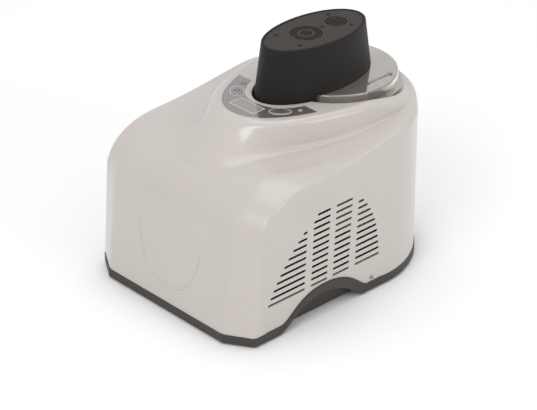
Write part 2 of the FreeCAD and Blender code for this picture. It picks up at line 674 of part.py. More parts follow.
FAN_D, FAN_Z, FAN_R = 117.0, 99.0, 44.0
FAN_X0, FAN_X1 = 80.0, 103.0
FAN_BLADES = 7


def fan_shroud():
    """Square frame with a round duct and a three-arm motor carrier."""
    y, z = back(FAN_D), lvl(FAN_Z)
    frame = box(FAN_X0, FAN_X1, y - 50, y + 50, z - 50, z + 50).cut(rod_x(FAN_X0 - 1, FAN_X1 + 1, y, z, FAN_R + 2))
    ring = rod_x(FAN_X0, FAN_X0 + 3, y, z, 19).cut(rod_x(FAN_X0 - 1, FAN_X0 + 4, y, z, 15.4))
    for turn in (90, 210, 330):
        arm = box(FAN_X0, FAN_X0 + 3, -3, 3, 17, FAN_R + 3)
        arm.rotate(V(0, 0, 0), V(1, 0, 0), turn)
        arm.translate(V(0, y, z))
        frame = frame.fuse(arm)
    return frame.fuse(ring).removeSplitter()


def fan_motor():
    y, z = back(FAN_D), lvl(FAN_Z)
    can = rod_x(FAN_X0 - 14, FAN_X0 + 4, y, z, 15.0)
    return can.fuse(rod_x(FAN_X0 + 4, FAN_X0 + 14, y, z, 1.5))


def fan_blades():
    """Hub with pitched blades, in its own running clearance."""
    y, z = back(FAN_D), lvl(FAN_Z)
    x0, x1 = FAN_X0 + 5, FAN_X1 - 2
    hub = rod_x(x0, x1, 0, 0, 13.0).cut(rod_x(x0 - 1, x0 + 3, 0, 0, 10.0))
    blades = []
    for i in range(FAN_BLADES):
        blade = box(-7.5, 7.5, -0.7, 0.7, 12, FAN_R)
        blade.rotate(V(0, 0, 0), V(0, 0, 1), 40)
        blade.translate(V((x0 + x1) / 2, 0, 0))
        blade.rotate(V(0, 0, 0), V(1, 0, 0), 360.0 * i / FAN_BLADES)
        blades.append(blade)
    rotor = hub.multiFuse(blades).cut(rod_x(0, 200, 0, 0, 1.55))
    rotor.translate(V(0, y, z))
    return rotor.removeSplitter()


def filter_drier():
    y = back(186)
    return rod_x(20, 70, y, lvl(40), 8).fuse(rod_x(10, 20, y, lvl(40), 3)).fuse(rod_x(70, 80, y, lvl(40), 3))


def discharge_line():
    """From the compressor to the condenser's top row."""
    x, z = COMP_X + COMP_R + 12.5, lvl(62)
    y = back(COMP_D) - 24
    x_end = (COND_X0 + COND_X1) / 2
    top = tube_row(COND_ROWS - 1)
    y_end = back(COND_D0) - 4.5
    return pipe([(x, y, z), (x + 16, y, z), (x + 16, y_end - 14, z), (x + 16, y_end - 14, top),
                 (x_end, y_end - 14, top), (x_end, y_end, top)], 2.8)


def liquid_line():
    """From the condenser's bottom row to the filter drier."""
    x = (COND_X0 + COND_X1) / 2
    z = tube_row(0)
    y = back(COND_D0) - 4.5
    return pipe([(x, y, z), (x, y - 8, z), (x, y - 8, lvl(36)), (x - 30, y - 8, lvl(36)), (x - 30, back(186), lvl(36)),
                 (x - 36.5, back(186), lvl(40))], 2.8)


def suction_line():
    """From the foot of the evaporator jacket back to the compressor."""
    x, y, z = COMP_X + COMP_R + 12.5, back(COMP_D) + 24, lvl(62)
    return pipe([(x, y, z), (x + 14, y, z), (x + 14, back(186), z), (x + 14, back(189.5), z)], 2.8)


# ---- electrics ------------------------------------------------------------
def power_board():
    """Supply board with its transformer and relay on the tray floor."""
    z = FOOT + WALL + 6
    y0, y1 = back(222), back(292)
    board = box(-130, -100, y0, y1, z, z + 1.6)
    board = board.fuse(box(-126, -104, y0 + 6, y0 + 32, z + 1.6, z + 24))
    board = board.fuse(box(-124, -108, y0 + 40, y0 + 58, z + 1.6, z + 15))
    for y in (y0 + 3, y1 - 3):
        board = board.fuse(rod(-115, y, FOOT + WALL, z, 3))
    return board


def power_inlet():
    """Recessed three-pin appliance inlet."""
    z, y1 = lvl(INLET_Z), LENGTH / 2 - 0.6
    w, h = INLET_W / 2 - 0.3, INLET_H / 2 - 0.3
    solid = box(-w, w, y1 - 3, y1, z - h, z + h)
    solid = solid.fuse(box(-13, 13, y1 - 22, y1 - 3, z - 10, z + 10))
    solid = solid.cut(box(-11, 11, y1 - 17, y1 + 1, z - 8, z + 8))
    for x, dz in ((-6, -1.4), (0, 2.4), (6, -1.4)):
        solid = solid.fuse(box(x - 1, x + 1, y1 - 18, y1 - 5, z + dz - 2, z + dz + 2))
    return solid


def motor_socket():
    """Socket under the deck that feeds the motor unit."""
    y, z = back(SOCKET_D), lvl(DECK)
    solid = box(-11.5, 11.5, y - 5.5, y + 5.5, z - 9, z)
    solid = solid.fuse(box(-15, 15, y - 9, y + 9, z - 9, z - WALL - 0.2))
    return solid.cut(box(-9, 9, y - 3, y + 3, z - 7, z + 1))


# ---- bowl, paddle and lid ---------------------------------------------------
SPINDLE_R = 3.0


def bowl():
    """Removable aluminium bowl with a rolled rim and a paddle spindle."""
    z0, z1 = lvl(BOWL_FLOOR), lvl(BOWL_TOP)
    shell = rod(0, LID_Y, z0 - 2.0, z1, BOWL_R)
    shell = shell.makeFillet(8, [e for e in shell.Edges if e.BoundBox.ZMax < z0])
    hollow = rod(0, LID_Y, z0, z1 + 1, BOWL_R - BOWL_WALL)
    hollow = hollow.makeFillet(7, [e for e in hollow.Edges if e.BoundBox.ZMax < z0 + 1])
    rim = rod(0, LID_Y, z1 - 2, z1, BOWL_R + 5).cut(rod(0, LID_Y, z1 - 3, z1 + 1, BOWL_R - BOWL_WALL))
    shell = shell.cut(hollow).fuse(rim)
    spindle = rod(0, LID_Y, z0 - 1, z0 + 16, SPINDLE_R)
    tip = [e for e in spindle.Edges if e.BoundBox.ZMin > z0 + 15]
    return shell.fuse(spindle.makeFillet(1.5, tip)).removeSplitter()


PADDLE_Z0 = 2.0
PADDLE_R = 68.0
SHAFT_SQUARE = 8.0


def paddle():
    """Two-armed dasher: scraper blades, sloping vanes and a driven hub."""
    z0, z1 = lvl(BOWL_FLOOR) + PADDLE_Z0, lvl(BOWL_TOP) - 14
    hub_top = lvl(LID_TOP) - 5
    hub = rod(0, 0, z0, hub_top - 16, 7.0).fuse(rod(0, 0, hub_top - 16, hub_top, 9.0))
    arms = []
    for turn in (0, 180):
        foot_bar = box(0, PADDLE_R, -5, 5, z0, z0 + 4)
        blade = box(PADDLE_R - 9, PADDLE_R, -1.6, 1.6, z0, z1)
        top_bar = box(0, PADDLE_R, -2.5, 2.5, z1 - 5, z1)
        vane = box(6, PADDLE_R - 20, -1.3, 1.3, -13, 13)
        vane.rotate(V(0, 0, 0), V(1, 0, 0), 38)
        low_vane = vane.copy()
        low_vane.translate(V(0, 0, z0 + 42))
        high_vane = vane.copy()
        high_vane.translate(V(0, 0, z0 + 88))
        tie = box(PADDLE_R - 22, PADDLE_R - 7, -1.6, 1.6, z0 + 38, z0 + 46)
        high_tie = box(PADDLE_R - 22, PADDLE_R - 7, -1.6, 1.6, z0 + 84, z0 + 92)
        for piece in (foot_bar, blade, top_bar, low_vane, high_vane, tie, high_tie):
            piece.rotate(V(0, 0, 0), UP, turn)
            arms.append(piece)
    solid = hub.multiFuse(arms)
    solid = solid.cut(rod(0, 0, z0 - 1, z0 + 15.5, SPINDLE_R + 0.06))
    half = SHAFT_SQUARE / 2 + 0.25
    solid = solid.cut(box(-half, half, -half, half, hub_top - 13, hub_top + 1))
    solid.translate(V(0, LID_Y, 0))
    return solid.removeSplitter()


FLAP_X, FLAP_D0, FLAP_D1 = 62.0, 299.0, 334.0
PIN_R = 0.8
PIN_LIFT = 0.7          # pin above the lid's top face
BARREL_R = 1.5
EAR_RISE = 2.2


def lid_form():
    """Clear lid: flat top, short skirt, standing flange and shaft collar."""
    z_top, z_low = lvl(LID_TOP), lvl(DECK) + 0.3
    dome = rod(0, LID_Y, z_low, z_top, LID_R)
    dome = dome.makeFillet(2.0, [e for e in dome.Edges if e.BoundBox.ZMin > z_top - 0.1])
    dome = dome.fuse(rod(0, LID_Y, z_low + 2.6, z_low + 6, FLANGE_R))
    dome = dome.cut(rod(0, LID_Y, z_low - 1, z_top - LID_WALL, LID_R - LID_WALL))
    collar = rod(0, LID_Y, z_top - 5, z_top, 15)
    return dome.fuse(collar).cut(rod(0, LID_Y, z_low, z_top + 1, 11.5))


def flap_zone(grow):
    return box(FLAP_X - grow, LID_R + 5, back(FLAP_D0) - grow, back(FLAP_D1) + grow, lvl(DECK) + 8 - grow, lvl(LID_TOP) + 1)


def lid():
    solid = lid_form().cut(flap_zone(CLEAR))
    # the motor unit's foot passes in front of the lid
    notch = oval(0, MOTOR_Y, 0, lvl(LID_TOP) + 1, MOTOR_A + 1.2, MOTOR_B + 1.2)
    notch = notch.common(box(-60, 60, -LENGTH, LID_Y - LID_R + 9, 0, 400))
    solid = solid.cut(notch)
    for d in (FLAP_D0 - 4.0, FLAP_D1 + 1.0):
        ear = box(FLAP_X - 2.5, FLAP_X + 2.5, back(d), back(d) + 3.0, lvl(LID_TOP) - 2, lvl(LID_TOP) + EAR_RISE)
        solid = solid.fuse(ear)
    pin_z = lvl(LID_TOP) + PIN_LIFT
    solid = solid.cut(rod_y(FLAP_X, back(FLAP_D0) - CLEAR, back(FLAP_D1) + CLEAR, pin_z, BARREL_R + 0.3))
    return solid.cut(rod_y(FLAP_X, back(FLAP_D0) - 20, back(FLAP_D1) + 20, pin_z, PIN_R)).removeSplitter()


def lid_flap():
    """Filler flap with its hinge barrel."""
    plate = lid_form().common(flap_zone(0.0))
    z = lvl(LID_TOP) + PIN_LIFT
    barrel = rod_y(FLAP_X, back(FLAP_D0) + 0.2, back(FLAP_D1) - 0.2, z, BARREL_R)
    web = box(FLAP_X, FLAP_X + 2.0, back(FLAP_D0) + 0.2, back(FLAP_D1) - 0.2, lvl(LID_TOP) - 1, z)
    bore = rod_y(FLAP_X, back(FLAP_D0) - 5, back(FLAP_D1) + 5, z, PIN_R + 0.06)
    return plate.fuse(barrel).fuse(web).cut(bore).removeSplitter()


def flap_pin():
    return rod_y(FLAP_X, back(FLAP_D0) - 4.4, back(FLAP_D1) + 4.4, lvl(LID_TOP) + PIN_LIFT, PIN_R)


# ---- motor unit -------------------------------------------------------------
AXIS_MOTOR = (0.0, LID_Y - 72.0)
AXIS_IDLER = (0.0, LID_Y - 42.0)
GEAR_Z1 = 248.0
GEAR_Z2 = 257.5
BRIDGE_Z = 268.0
MOTOR_SHAFT_R = 1.5


def motor_cover():
    z0, z1 = lvl(MOTOR_FOOT_Z), lvl(MOTOR_TOP_Z)
    cover = motor_block(z0, z1)
    cover = cover.makeFillet(2.2, [e for e in cover.Edges if e.BoundBox.ZMin > z1 - 0.1])
    cover = cover.cut(motor_block(z0 - 1, z1 - 3.2, -MOTOR_WALL))
    cover = cover.cut(oval(0, MOTOR_Y, z1 - 5, z1 + 1, MOTOR_A_TOP - 3.4, MOTOR_B_TOP - 3.4))
    cover = cover.cut(rod(0, LID_Y, 0, lvl(LID_TOP) + 0.6, FLANGE_R + 0.8))
    behind = box(-100, 100, LID_Y - 40, LENGTH, 0, lvl(LID_TOP) + 0.6)
    cover = cover.cut(behind)
    # small test hole high on the right-hand wall
    return cover.cut(rod_x(30, 60, back(289), lvl(299), 1.3)).removeSplitter()


def motor_base():
    """Chassis plate that carries the gear train, with the plug foot in front."""
    z0 = lvl(MOTOR_BASE_Z)
    plate = motor_block(z0, z0 + WALL, -MOTOR_WALL - 0.3)
    foot = motor_block(lvl(MOTOR_FOOT_Z), z0, -MOTOR_WALL - 0.3).cut(rod(0, LID_Y, 0, 400, FLANGE_R + 0.8))
    foot = foot.common(box(-100, 100, -LENGTH, LID_Y - 40, 0, 400))
    solid = plate.fuse(foot)
    for x, dy in BRIDGE_POSTS:
        solid = solid.fuse(rod(x, LID_Y + dy, z0, lvl(BRIDGE_Z), 4.0).cut(rod(x, LID_Y + dy, z0 + 6, lvl(BRIDGE_Z) + 1, 1.4)))
    solid = solid.cut(rod(0, LID_Y, 0, lvl(BRIDGE_Z), 9.0))
    solid = solid.cut(rod(*AXIS_IDLER, z0 - 1, lvl(GEAR_Z1) - 1, 2.5))
    solid = solid.cut(box(-9.6, 9.6, back(SOCKET_D) - 3.6, back(SOCKET_D) + 3.6, 0, lvl(MOTOR_FOOT_Z) + 6))
    return solid.removeSplitter()


BRIDGE_POSTS = [(-24, -72), (24, -72), (-31, -36.5), (31, -36.5), (0, 41)]


def gear_bridge():
    z = lvl(BRIDGE_Z)
    outline = [(-29, LID_Y - 79), (29, LID_Y - 79), (37, LID_Y - 38), (8, LID_Y + 44), (-8, LID_Y + 44), (-37, LID_Y - 38)]
    plate = prism(outline, z, z + 2.5)
    for x, dy in BRIDGE_POSTS:
        plate = plate.cut(rod(x, LID_Y + dy, z - 1, z + 4, 1.7))
    plate = plate.cut(rod(*AXIS_MOTOR, z - 1, z + 4, 6.5))
    plate = plate.cut(rod(*AXIS_IDLER, z - 1, z + 4, 2.5))
    return plate.cut(rod(0, LID_Y, z - 1, z + 4, 5.06))


def drive_motor():
    """Flat-sided can with its nose, rear cap and shaft."""
    x, y = AXIS_MOTOR
    z = lvl(BRIDGE_Z) + 2.5
    can = rod(x, y, z, z + 30, 19).common(box(x - 19, x + 19, y - 16, y + 16, z - 1, z + 40))
    nose = rod(x, y, z - 2.5, z, 6.3)
    tags = box(x - 12, x - 9, y - 1, y + 1, z + 30, z + 33).fuse(box(x + 9, x + 12, y - 1, y + 1, z + 30, z + 33))
    return can.fuse(nose).fuse(tags).cut(rod(x, y, z - 3, z + 15, MOTOR_SHAFT_R + 0.06)).removeSplitter()


def pinion():
    """Pinion on the motor's own shaft."""
    z = lvl(GEAR_Z1)
    wheel = gear_wheel(PINION_T, z, z + 9, AXIS_MOTOR, MOTOR_SHAFT_R, PINION_T / 4.0 + 0.5)
    return wheel.fuse(rod(*AXIS_MOTOR, z - 0.5, lvl(BRIDGE_Z) + 16, MOTOR_SHAFT_R)).removeSplitter()


def gear_wheel(teeth, z0, z1, centre, bore, phase=0.0):
    """Spur gear with involute flanks and a little backlash; phase in tooth pitches."""
    pitch_r = MODULE * teeth / 2
    base_r = pitch_r * math.cos(math.radians(20))
    tip_r, root_r = pitch_r + 0.9 * MODULE, pitch_r - 1.2 * MODULE
    involute_pitch = math.tan(math.radians(20)) - math.radians(20)
    half_tooth = math.pi / (2 * teeth) - 0.07 * MODULE / pitch_r
    flank = []
    steps = 5
    low = max(base_r, root_r)
    for i in range(steps + 1):
        r = low + (tip_r - low) * i / steps
        pressure = math.acos(min(1.0, base_r / r))
        flank.append((r, half_tooth + involute_pitch - (math.tan(pressure) - pressure)))
    if root_r < base_r:
        flank.insert(0, (root_r, flank[0][1]))
    points = []
    for k in range(teeth):
        middle = 2 * math.pi * (k + phase) / teeth
        for r, angle in flank:
            points.append((r * math.cos(middle - angle), r * math.sin(middle - angle)))
        for r, angle in reversed(flank):
            points.append((r * math.cos(middle + angle), r * math.sin(middle + angle)))
    wheel = prism(points, z0, z1).cut(rod(0, 0, z0 - 1, z1 + 1, bore))
    wheel.translate(V(centre[0], centre[1], 0))
    return wheel


def idler_gear():
    """Compound wheel: large gear driven by the pinion, small gear driving the output."""
    z = lvl(GEAR_Z1)
    # both meshing points lie on the Y axis through the wheel
    large = gear_wheel(IDLER_T, z, z + 8, AXIS_IDLER, 2.55, -IDLER_T / 4.0)
    small = gear_wheel(IDLER_SMALL_T, z + 8, lvl(GEAR_Z2) + 9, AXIS_IDLER, 2.55, IDLER_SMALL_T / 4.0)
    return large.fuse(small)


def output_gear():
    z = lvl(GEAR_Z2)
    wheel = gear_wheel(OUTPUT_T, z, z + 8, (0, LID_Y), 5.0, -OUTPUT_T / 4.0 + 0.5)
    for k in range(6):
        hole = rod(22, 0, z - 1, z + 10, 6.0)
        hole.rotate(V(0, 0, 0), UP, 60 * k + 30)
        hole.translate(V(0, LID_Y, 0))
        wheel = wheel.cut(hole)
    return wheel


def output_shaft():
    """Round shaft with the square end that drives the paddle."""
    half = SHAFT_SQUARE / 2
    z_low = lvl(LID_TOP) - 16
    shaft = rod(0, LID_Y, lvl(LID_TOP) - 3, lvl(BRIDGE_Z) + 2.5, 5.0)
    return shaft.fuse(box(-half, half, LID_Y - half, LID_Y + half, z_low, lvl(LID_TOP) - 3))


def output_bush():
    z = lvl(MOTOR_BASE_Z)
    return tube(0, LID_Y, z - 0.5, z + 8, 8.95, 5.05)


def top_plate():
    """Recessed plate in the cover's top with two round grilles."""
    z = lvl(MOTOR_TOP_Z)
    plate = oval(0, MOTOR_Y, z - 3.2, z - 0.8, MOTOR_A_TOP - 3.8, MOTOR_B_TOP - 3.8)
    holes = []
    for middle, radius in GRILLES:
        holes += grille_holes(back(middle), radius, z)
    for x, d in TOP_SCREWS:
        holes.append(rod(x, back(d), z - 6, z + 1, 1.7))
        holes.append(rod(x, back(d), z - 2.0, z + 1, 3.4))
    return plate.cut(Part.makeCompound(holes))


GRILLES = [(245.4, 21.5), (298.1, 16.5)]
GRILLE_PITCH = 3.4
GRILLE_HOLE_R = 1.05
TOP_SCREWS = [(-21, 213.7), (21, 213.7), (0, 273.7), (-21, 305), (21, 305)]


def grille_holes(y_mid, radius, z):
    """Hexagonal field of round holes inside a circle."""
    holes = []
    reach = int(radius / GRILLE_PITCH) + 2
    for row in range(-reach, reach + 1):
        y = row * GRILLE_PITCH * math.sqrt(3) / 2
        for col in range(-reach, reach + 1):
            x = (col + 0.5 * (row % 2)) * GRILLE_PITCH
            if math.hypot(x, y) < radius - GRILLE_HOLE_R:
                holes.append(rod(x, y_mid + y, z - 6, z + 1, GRILLE_HOLE_R))
    return holes


def motor_plug():
    """Plug on the unit's foot that enters the deck socket."""
    y, z = back(SOCKET_D), lvl(DECK)
    solid = box(-9.3, 9.3, y - 3.3, y + 3.3, lvl(MOTOR_FOOT_Z), lvl(MOTOR_FOOT_Z) + 6)
    return solid.fuse(box(-8.5, 8.5, y - 2.5, y + 2.5, z - 5, lvl(MOTOR_FOOT_Z)))


def main():
    os.makedirs("parts", exist_ok=True)
    save("base_tray", base_tray())
    save("housing_shell", housing_shell())
    save("feet", *[foot(x, d) for x, d in FEET])
    save("base_screws", *[pan_screw(x, back(d), FOOT + 0.4, 26, 1.7) for x, d in BASE_SCREWS])
    save("control_overlay", control_overlay())
    save("lcd_window", lcd_window())
    save("status_led", status_led())
    save("control_board", control_board())
    save("board_screws", *[pan_screw(x, back(d), lvl(BOARD_Z) - 0.85, 8, 1.2) for x, d in BOARD_SCREWS])
    for name in BUTTONS:
        save(name, button(name))
    save("well", well())
    save("evaporator_coil", evaporator_coil())
    save("insulation", insulation())
    save("compressor", compressor())
    save("compressor_grommets", *[grommet(dx, dy) for dx, dy in GROMMETS])
    save("compressor_bolts", *[grommet_bolt(dx, dy) for dx, dy in GROMMETS])
    save("terminal_cover", terminal_cover())
    save("condenser_fins", *condenser_fins())
    save("condenser_tube", condenser_tube())
    save("fan_shroud", fan_shroud())
    save("fan_motor", fan_motor())
    save("fan_blades", fan_blades())
    save("filter_drier", filter_drier())
    save("discharge_line", discharge_line())
    save("liquid_line", liquid_line())
    save("suction_line", suction_line())
    save("power_board", power_board())
    save("power_inlet", power_inlet())
    save("motor_socket", motor_socket())
    save("bowl", bowl())
    save("paddle", paddle())
    save("lid", lid())
    save("lid_flap", lid_flap())
    save("flap_pin", flap_pin())
    save("motor_cover", motor_cover())
    save("motor_base", motor_base())
    save("gear_bridge", gear_bridge())
    save("drive_motor", drive_motor())
    save("pinion", pinion())
    save("idler_gear", idler_gear())
    save("idler_pin", rod(*AXIS_IDLER, lvl(MOTOR_BASE_Z), lvl(BRIDGE_Z) + 2.5, 2.5))
    save("output_gear", output_gear())
    save("output_shaft", output_shaft())
    save("output_bush", output_bush())
    save("motor_plug", motor_plug())
    save("top_plate", top_plate())
    top_z = lvl(MOTOR_TOP_Z) - 2.0
    save("top_plate_screws", *[pan_screw(x, back(d), top_z + 1.2, 8, 1.6, -1) for x, d in TOP_SCREWS])
    bridge_z = lvl(BRIDGE_Z) + 2.5
    save("bridge_screws", *[pan_screw(x, LID_Y + dy, bridge_z + 0.95, 9, 1.35, -1) for x, dy in BRIDGE_POSTS])


main()
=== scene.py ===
"""Countertop ice cream maker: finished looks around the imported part.

Metres, +Z up, front towards -Y. The housing section works in millimetres: x, d behind the front face,
z above the base band's lower edge.
"""

import json
import math

import bmesh
import bpy
import numpy as np
from mathutils import Matrix, Vector


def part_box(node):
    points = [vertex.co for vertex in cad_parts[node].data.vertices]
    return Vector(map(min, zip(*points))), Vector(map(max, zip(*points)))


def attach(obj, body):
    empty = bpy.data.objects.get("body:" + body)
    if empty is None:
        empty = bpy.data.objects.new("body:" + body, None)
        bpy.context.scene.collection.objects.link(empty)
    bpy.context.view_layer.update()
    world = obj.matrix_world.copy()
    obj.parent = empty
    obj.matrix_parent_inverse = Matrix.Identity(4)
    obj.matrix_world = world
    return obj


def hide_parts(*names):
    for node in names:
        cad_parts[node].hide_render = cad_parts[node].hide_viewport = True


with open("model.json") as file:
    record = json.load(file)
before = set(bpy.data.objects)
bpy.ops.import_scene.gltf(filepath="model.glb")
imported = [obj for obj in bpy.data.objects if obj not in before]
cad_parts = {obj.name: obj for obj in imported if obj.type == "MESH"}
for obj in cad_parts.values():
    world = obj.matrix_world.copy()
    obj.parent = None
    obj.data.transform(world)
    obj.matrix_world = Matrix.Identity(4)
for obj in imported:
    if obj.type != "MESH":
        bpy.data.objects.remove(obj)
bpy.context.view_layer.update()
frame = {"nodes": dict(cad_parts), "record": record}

MM = 0.001
BAND_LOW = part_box("base_tray")[0]
FRONT = BAND_LOW.y + 1.0 * MM          # plane that the front face's foot stands in
FLOOR_GAP = BAND_LOW.z                 # lower edge of the base band
BOWL_LOW, BOWL_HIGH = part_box("bowl")
LID_D = ((BOWL_LOW.y + BOWL_HIGH.y) / 2 - FRONT) / MM
PLATE_LOW, PLATE_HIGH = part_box("top_plate")
MOTOR_D = ((PLATE_LOW.y + PLATE_HIGH.y) / 2 - FRONT) / MM


def place(x, d, z):
    """Scene point from millimetres: x, behind the front face, above the base band's lower edge."""
    return Vector((x * MM, FRONT + d * MM, FLOOR_GAP + z * MM))


# ---- materials -----------------------------------------------------------
def srgb(red, green, blue):
    """Linear colour from 0-255 display values."""
    out = []
    for value in (red, green, blue):
        v = value / 255
        out.append(v / 12.92 if v <= 0.04045 else ((v + 0.055) / 1.055) ** 2.4)
    return (*out, 1.0)


def shade(colour, factor):
    return tuple(min(1.0, c * factor) for c in colour[:3]) + (1.0,)


class Finish:
    """A material with helpers that add and link its nodes."""

    def __init__(self, name):
        self.material = bpy.data.materials.new(name)
        self.material.use_nodes = True
        self.tree = self.material.node_tree
        self.main = self.tree.nodes["Principled BSDF"]
        self.object_space = self.tree.nodes.new("ShaderNodeTexCoord").outputs["Object"]

    def feed(self, socket, value):
        if isinstance(value, bpy.types.NodeSocket):
            self.tree.links.new(value, socket)
        else:
            socket.default_value = value

    def node(self, kind, inputs=None, **settings):
        node = self.tree.nodes.new("ShaderNode" + kind)
        for name, value in settings.items():
            setattr(node, name, value)
        for key, value in (inputs or {}).items():
            self.feed(node.inputs[key], value)
        return node

    def set(self, **inputs):
        for name, value in inputs.items():
            self.feed(self.main.inputs[name.replace("_", " ")], value)

    def noise(self, scale, detail=2.0, stretch=None, roughness=0.5):
        vector = self.object_space
        if stretch:
            vector = self.node("Mapping", {"Vector": vector, "Scale": stretch}).outputs["Vector"]
        inputs = {"Vector": vector, "Scale": scale, "Detail": detail, "Roughness": roughness}
        return self.node("TexNoise", inputs).outputs["Fac"]

    def remap(self, value, low, high, start=0.3, end=0.7):
        inputs = {"Value": value, "From Min": start, "From Max": end, "To Min": low, "To Max": high}
        return self.node("MapRange", inputs).outputs["Result"]

    def blend(self, factor, a, b):
        node = self.tree.nodes.new("ShaderNodeMix")
        node.data_type = "RGBA"
        self.feed(node.inputs[0], factor)
        self.feed(node.inputs[6], a)
        self.feed(node.inputs[7], b)
        return node.outputs[2]

    def bump(self, height, distance, strength=1.0):
        inputs = {"Height": height, "Distance": distance, "Strength": strength}
        self.set(Normal=self.node("Bump", inputs).outputs["Normal"])


def moulded(name, colour, rough, grain, relief, tint=0.05, specular=0.5, spread=0.06):
    """Moulded plastic: faint cloudy tone, spark-eroded grain of the given size in metres."""
    finish = Finish(name)
    cloud = finish.noise(14.0, 3.0)
    grains = finish.noise(1.0 / grain, 3.0)
    tone = finish.remap(cloud, 0.0, 1.0)
    finish.set(Base_Color=finish.blend(tone, shade(colour, 1 - tint), shade(colour, 1 + tint)))
    finish.set(Roughness=finish.remap(grains, rough - spread, rough + spread))
    finish.feed(finish.main.inputs["Specular IOR Level"], specular)
    finish.bump(grains, relief)
    return finish


def gloss_shell():
    """Glossy warm white moulding with a very slight flow waviness."""
    finish = moulded("gloss_shell", srgb(194, 187, 181), 0.2, 0.0009, 0.000004, tint=0.012, spread=0.03)
    finish.set(Coat_Weight=0.15, Coat_Roughness=0.08)
    wave = finish.noise(26.0, 1.0)
    finish.bump(wave, 0.00012)
    return finish.material


def worked_metal(name, colour, rough, stretch, scale, relief, tint=0.06):
    """Metal with drawn or turned streaks along the stretched direction."""
    finish = Finish(name)
    streaks = finish.noise(scale, 4.0, stretch)
    cloud = finish.noise(30.0, 2.0)
    tone = finish.remap(cloud, 0.0, 1.0)
    finish.set(Base_Color=finish.blend(tone, shade(colour, 1 - tint), shade(colour, 1 + tint)))
    finish.set(Metallic=1.0, Roughness=finish.remap(streaks, rough - 0.08, rough + 0.1))
    finish.bump(streaks, relief)
    return finish.material


def clear_plastic():
    """Clear lid plastic: grey and see-through face on, strongly mirroring at grazing angles, faint haze."""
    finish = Finish("clear_plastic")
    haze = finish.remap(finish.noise(40.0, 3.0), 0.2, 0.25)
    body = finish.main
    finish.set(Base_Color=srgb(240, 231, 221), Roughness=finish.remap(finish.noise(300.0), 0.12, 0.2))
    through = finish.node("BsdfTransparent", {"Color": (0.86, 0.84, 0.815, 1.0)})
    veil = finish.node("MixShader", {0: haze, 1: through.outputs[0], 2: body.outputs[0]})
    mirror = finish.node("BsdfGlossy", {"Color": (1.0, 0.96, 0.915, 1.0), "Roughness": 0.03})
    wave = finish.node("Bump", {"Height": finish.noise(22.0, 1.0), "Distance": 0.00002, "Strength": 1.0})
    finish.feed(mirror.inputs["Normal"], wave.outputs[0])
    # both faces of the thin wall mirror, so a single reflection carries more than one face's share
    fresnel = finish.node("Fresnel", {"IOR": 1.45})
    share = finish.node("Math", {0: fresnel.outputs[0], 1: 4.5}, operation="MULTIPLY", use_clamp=True)
    surface = finish.node("MixShader", {0: share.outputs[0], 1: veil.outputs[0], 2: mirror.outputs[0]})
    output = finish.tree.nodes["Material Output"]
    finish.feed(output.inputs["Surface"], surface.outputs[0])
    return finish.material


def glossy_film(name, colour):
    """Printed panel film: dark grey under a clear glossy layer."""
    finish = moulded(name, colour, 0.2, 0.0005, 0.000003, tint=0.03, spread=0.03)
    finish.set(Coat_Weight=1.0, Coat_Roughness=0.14, Coat_IOR=2.3)
    return finish.material


def display_pane():
    """Display behind a tinted window: faint vertical segment columns."""
    finish = Finish("display_pane")
    columns = finish.node("TexWave", {"Vector": finish.object_space, "Scale": 160.0, "Distortion": 0.0})
    lines = finish.remap(columns.outputs["Fac"], 0.0, 0.35, 0.2, 0.9)
    finish.set(Base_Color=finish.blend(lines, srgb(150, 143, 140), srgb(128, 121, 118)))
    finish.set(Roughness=finish.remap(finish.noise(200.0), 0.1, 0.18), Coat_Weight=0.6, Coat_Roughness=0.05)
    return finish.material


def foam_jacket():
    finish = Finish("foam_jacket")
    cells = finish.node("TexVoronoi", {"Vector": finish.object_space, "Scale": 420.0})
    depth = cells.outputs["Distance"]
    finish.set(Base_Color=finish.blend(depth, srgb(214, 196, 140), srgb(238, 226, 184)))
    finish.set(Roughness=finish.remap(finish.noise(90.0), 0.8, 0.95))
    finish.bump(depth, 0.0006)
    return finish.material


def board_laminate():
    finish = Finish("board_laminate")
    weave = finish.noise(900.0, 2.0, (1.0, 6.0, 1.0))
    patches = finish.remap(finish.noise(160.0, 1.0), 0.0, 1.0, 0.46, 0.54)
    finish.set(Base_Color=finish.blend(patches, srgb(24, 86, 48), srgb(46, 122, 70)))
    finish.set(Roughness=finish.remap(weave, 0.28, 0.42))
    finish.bump(weave, 0.00003)
    return finish.material


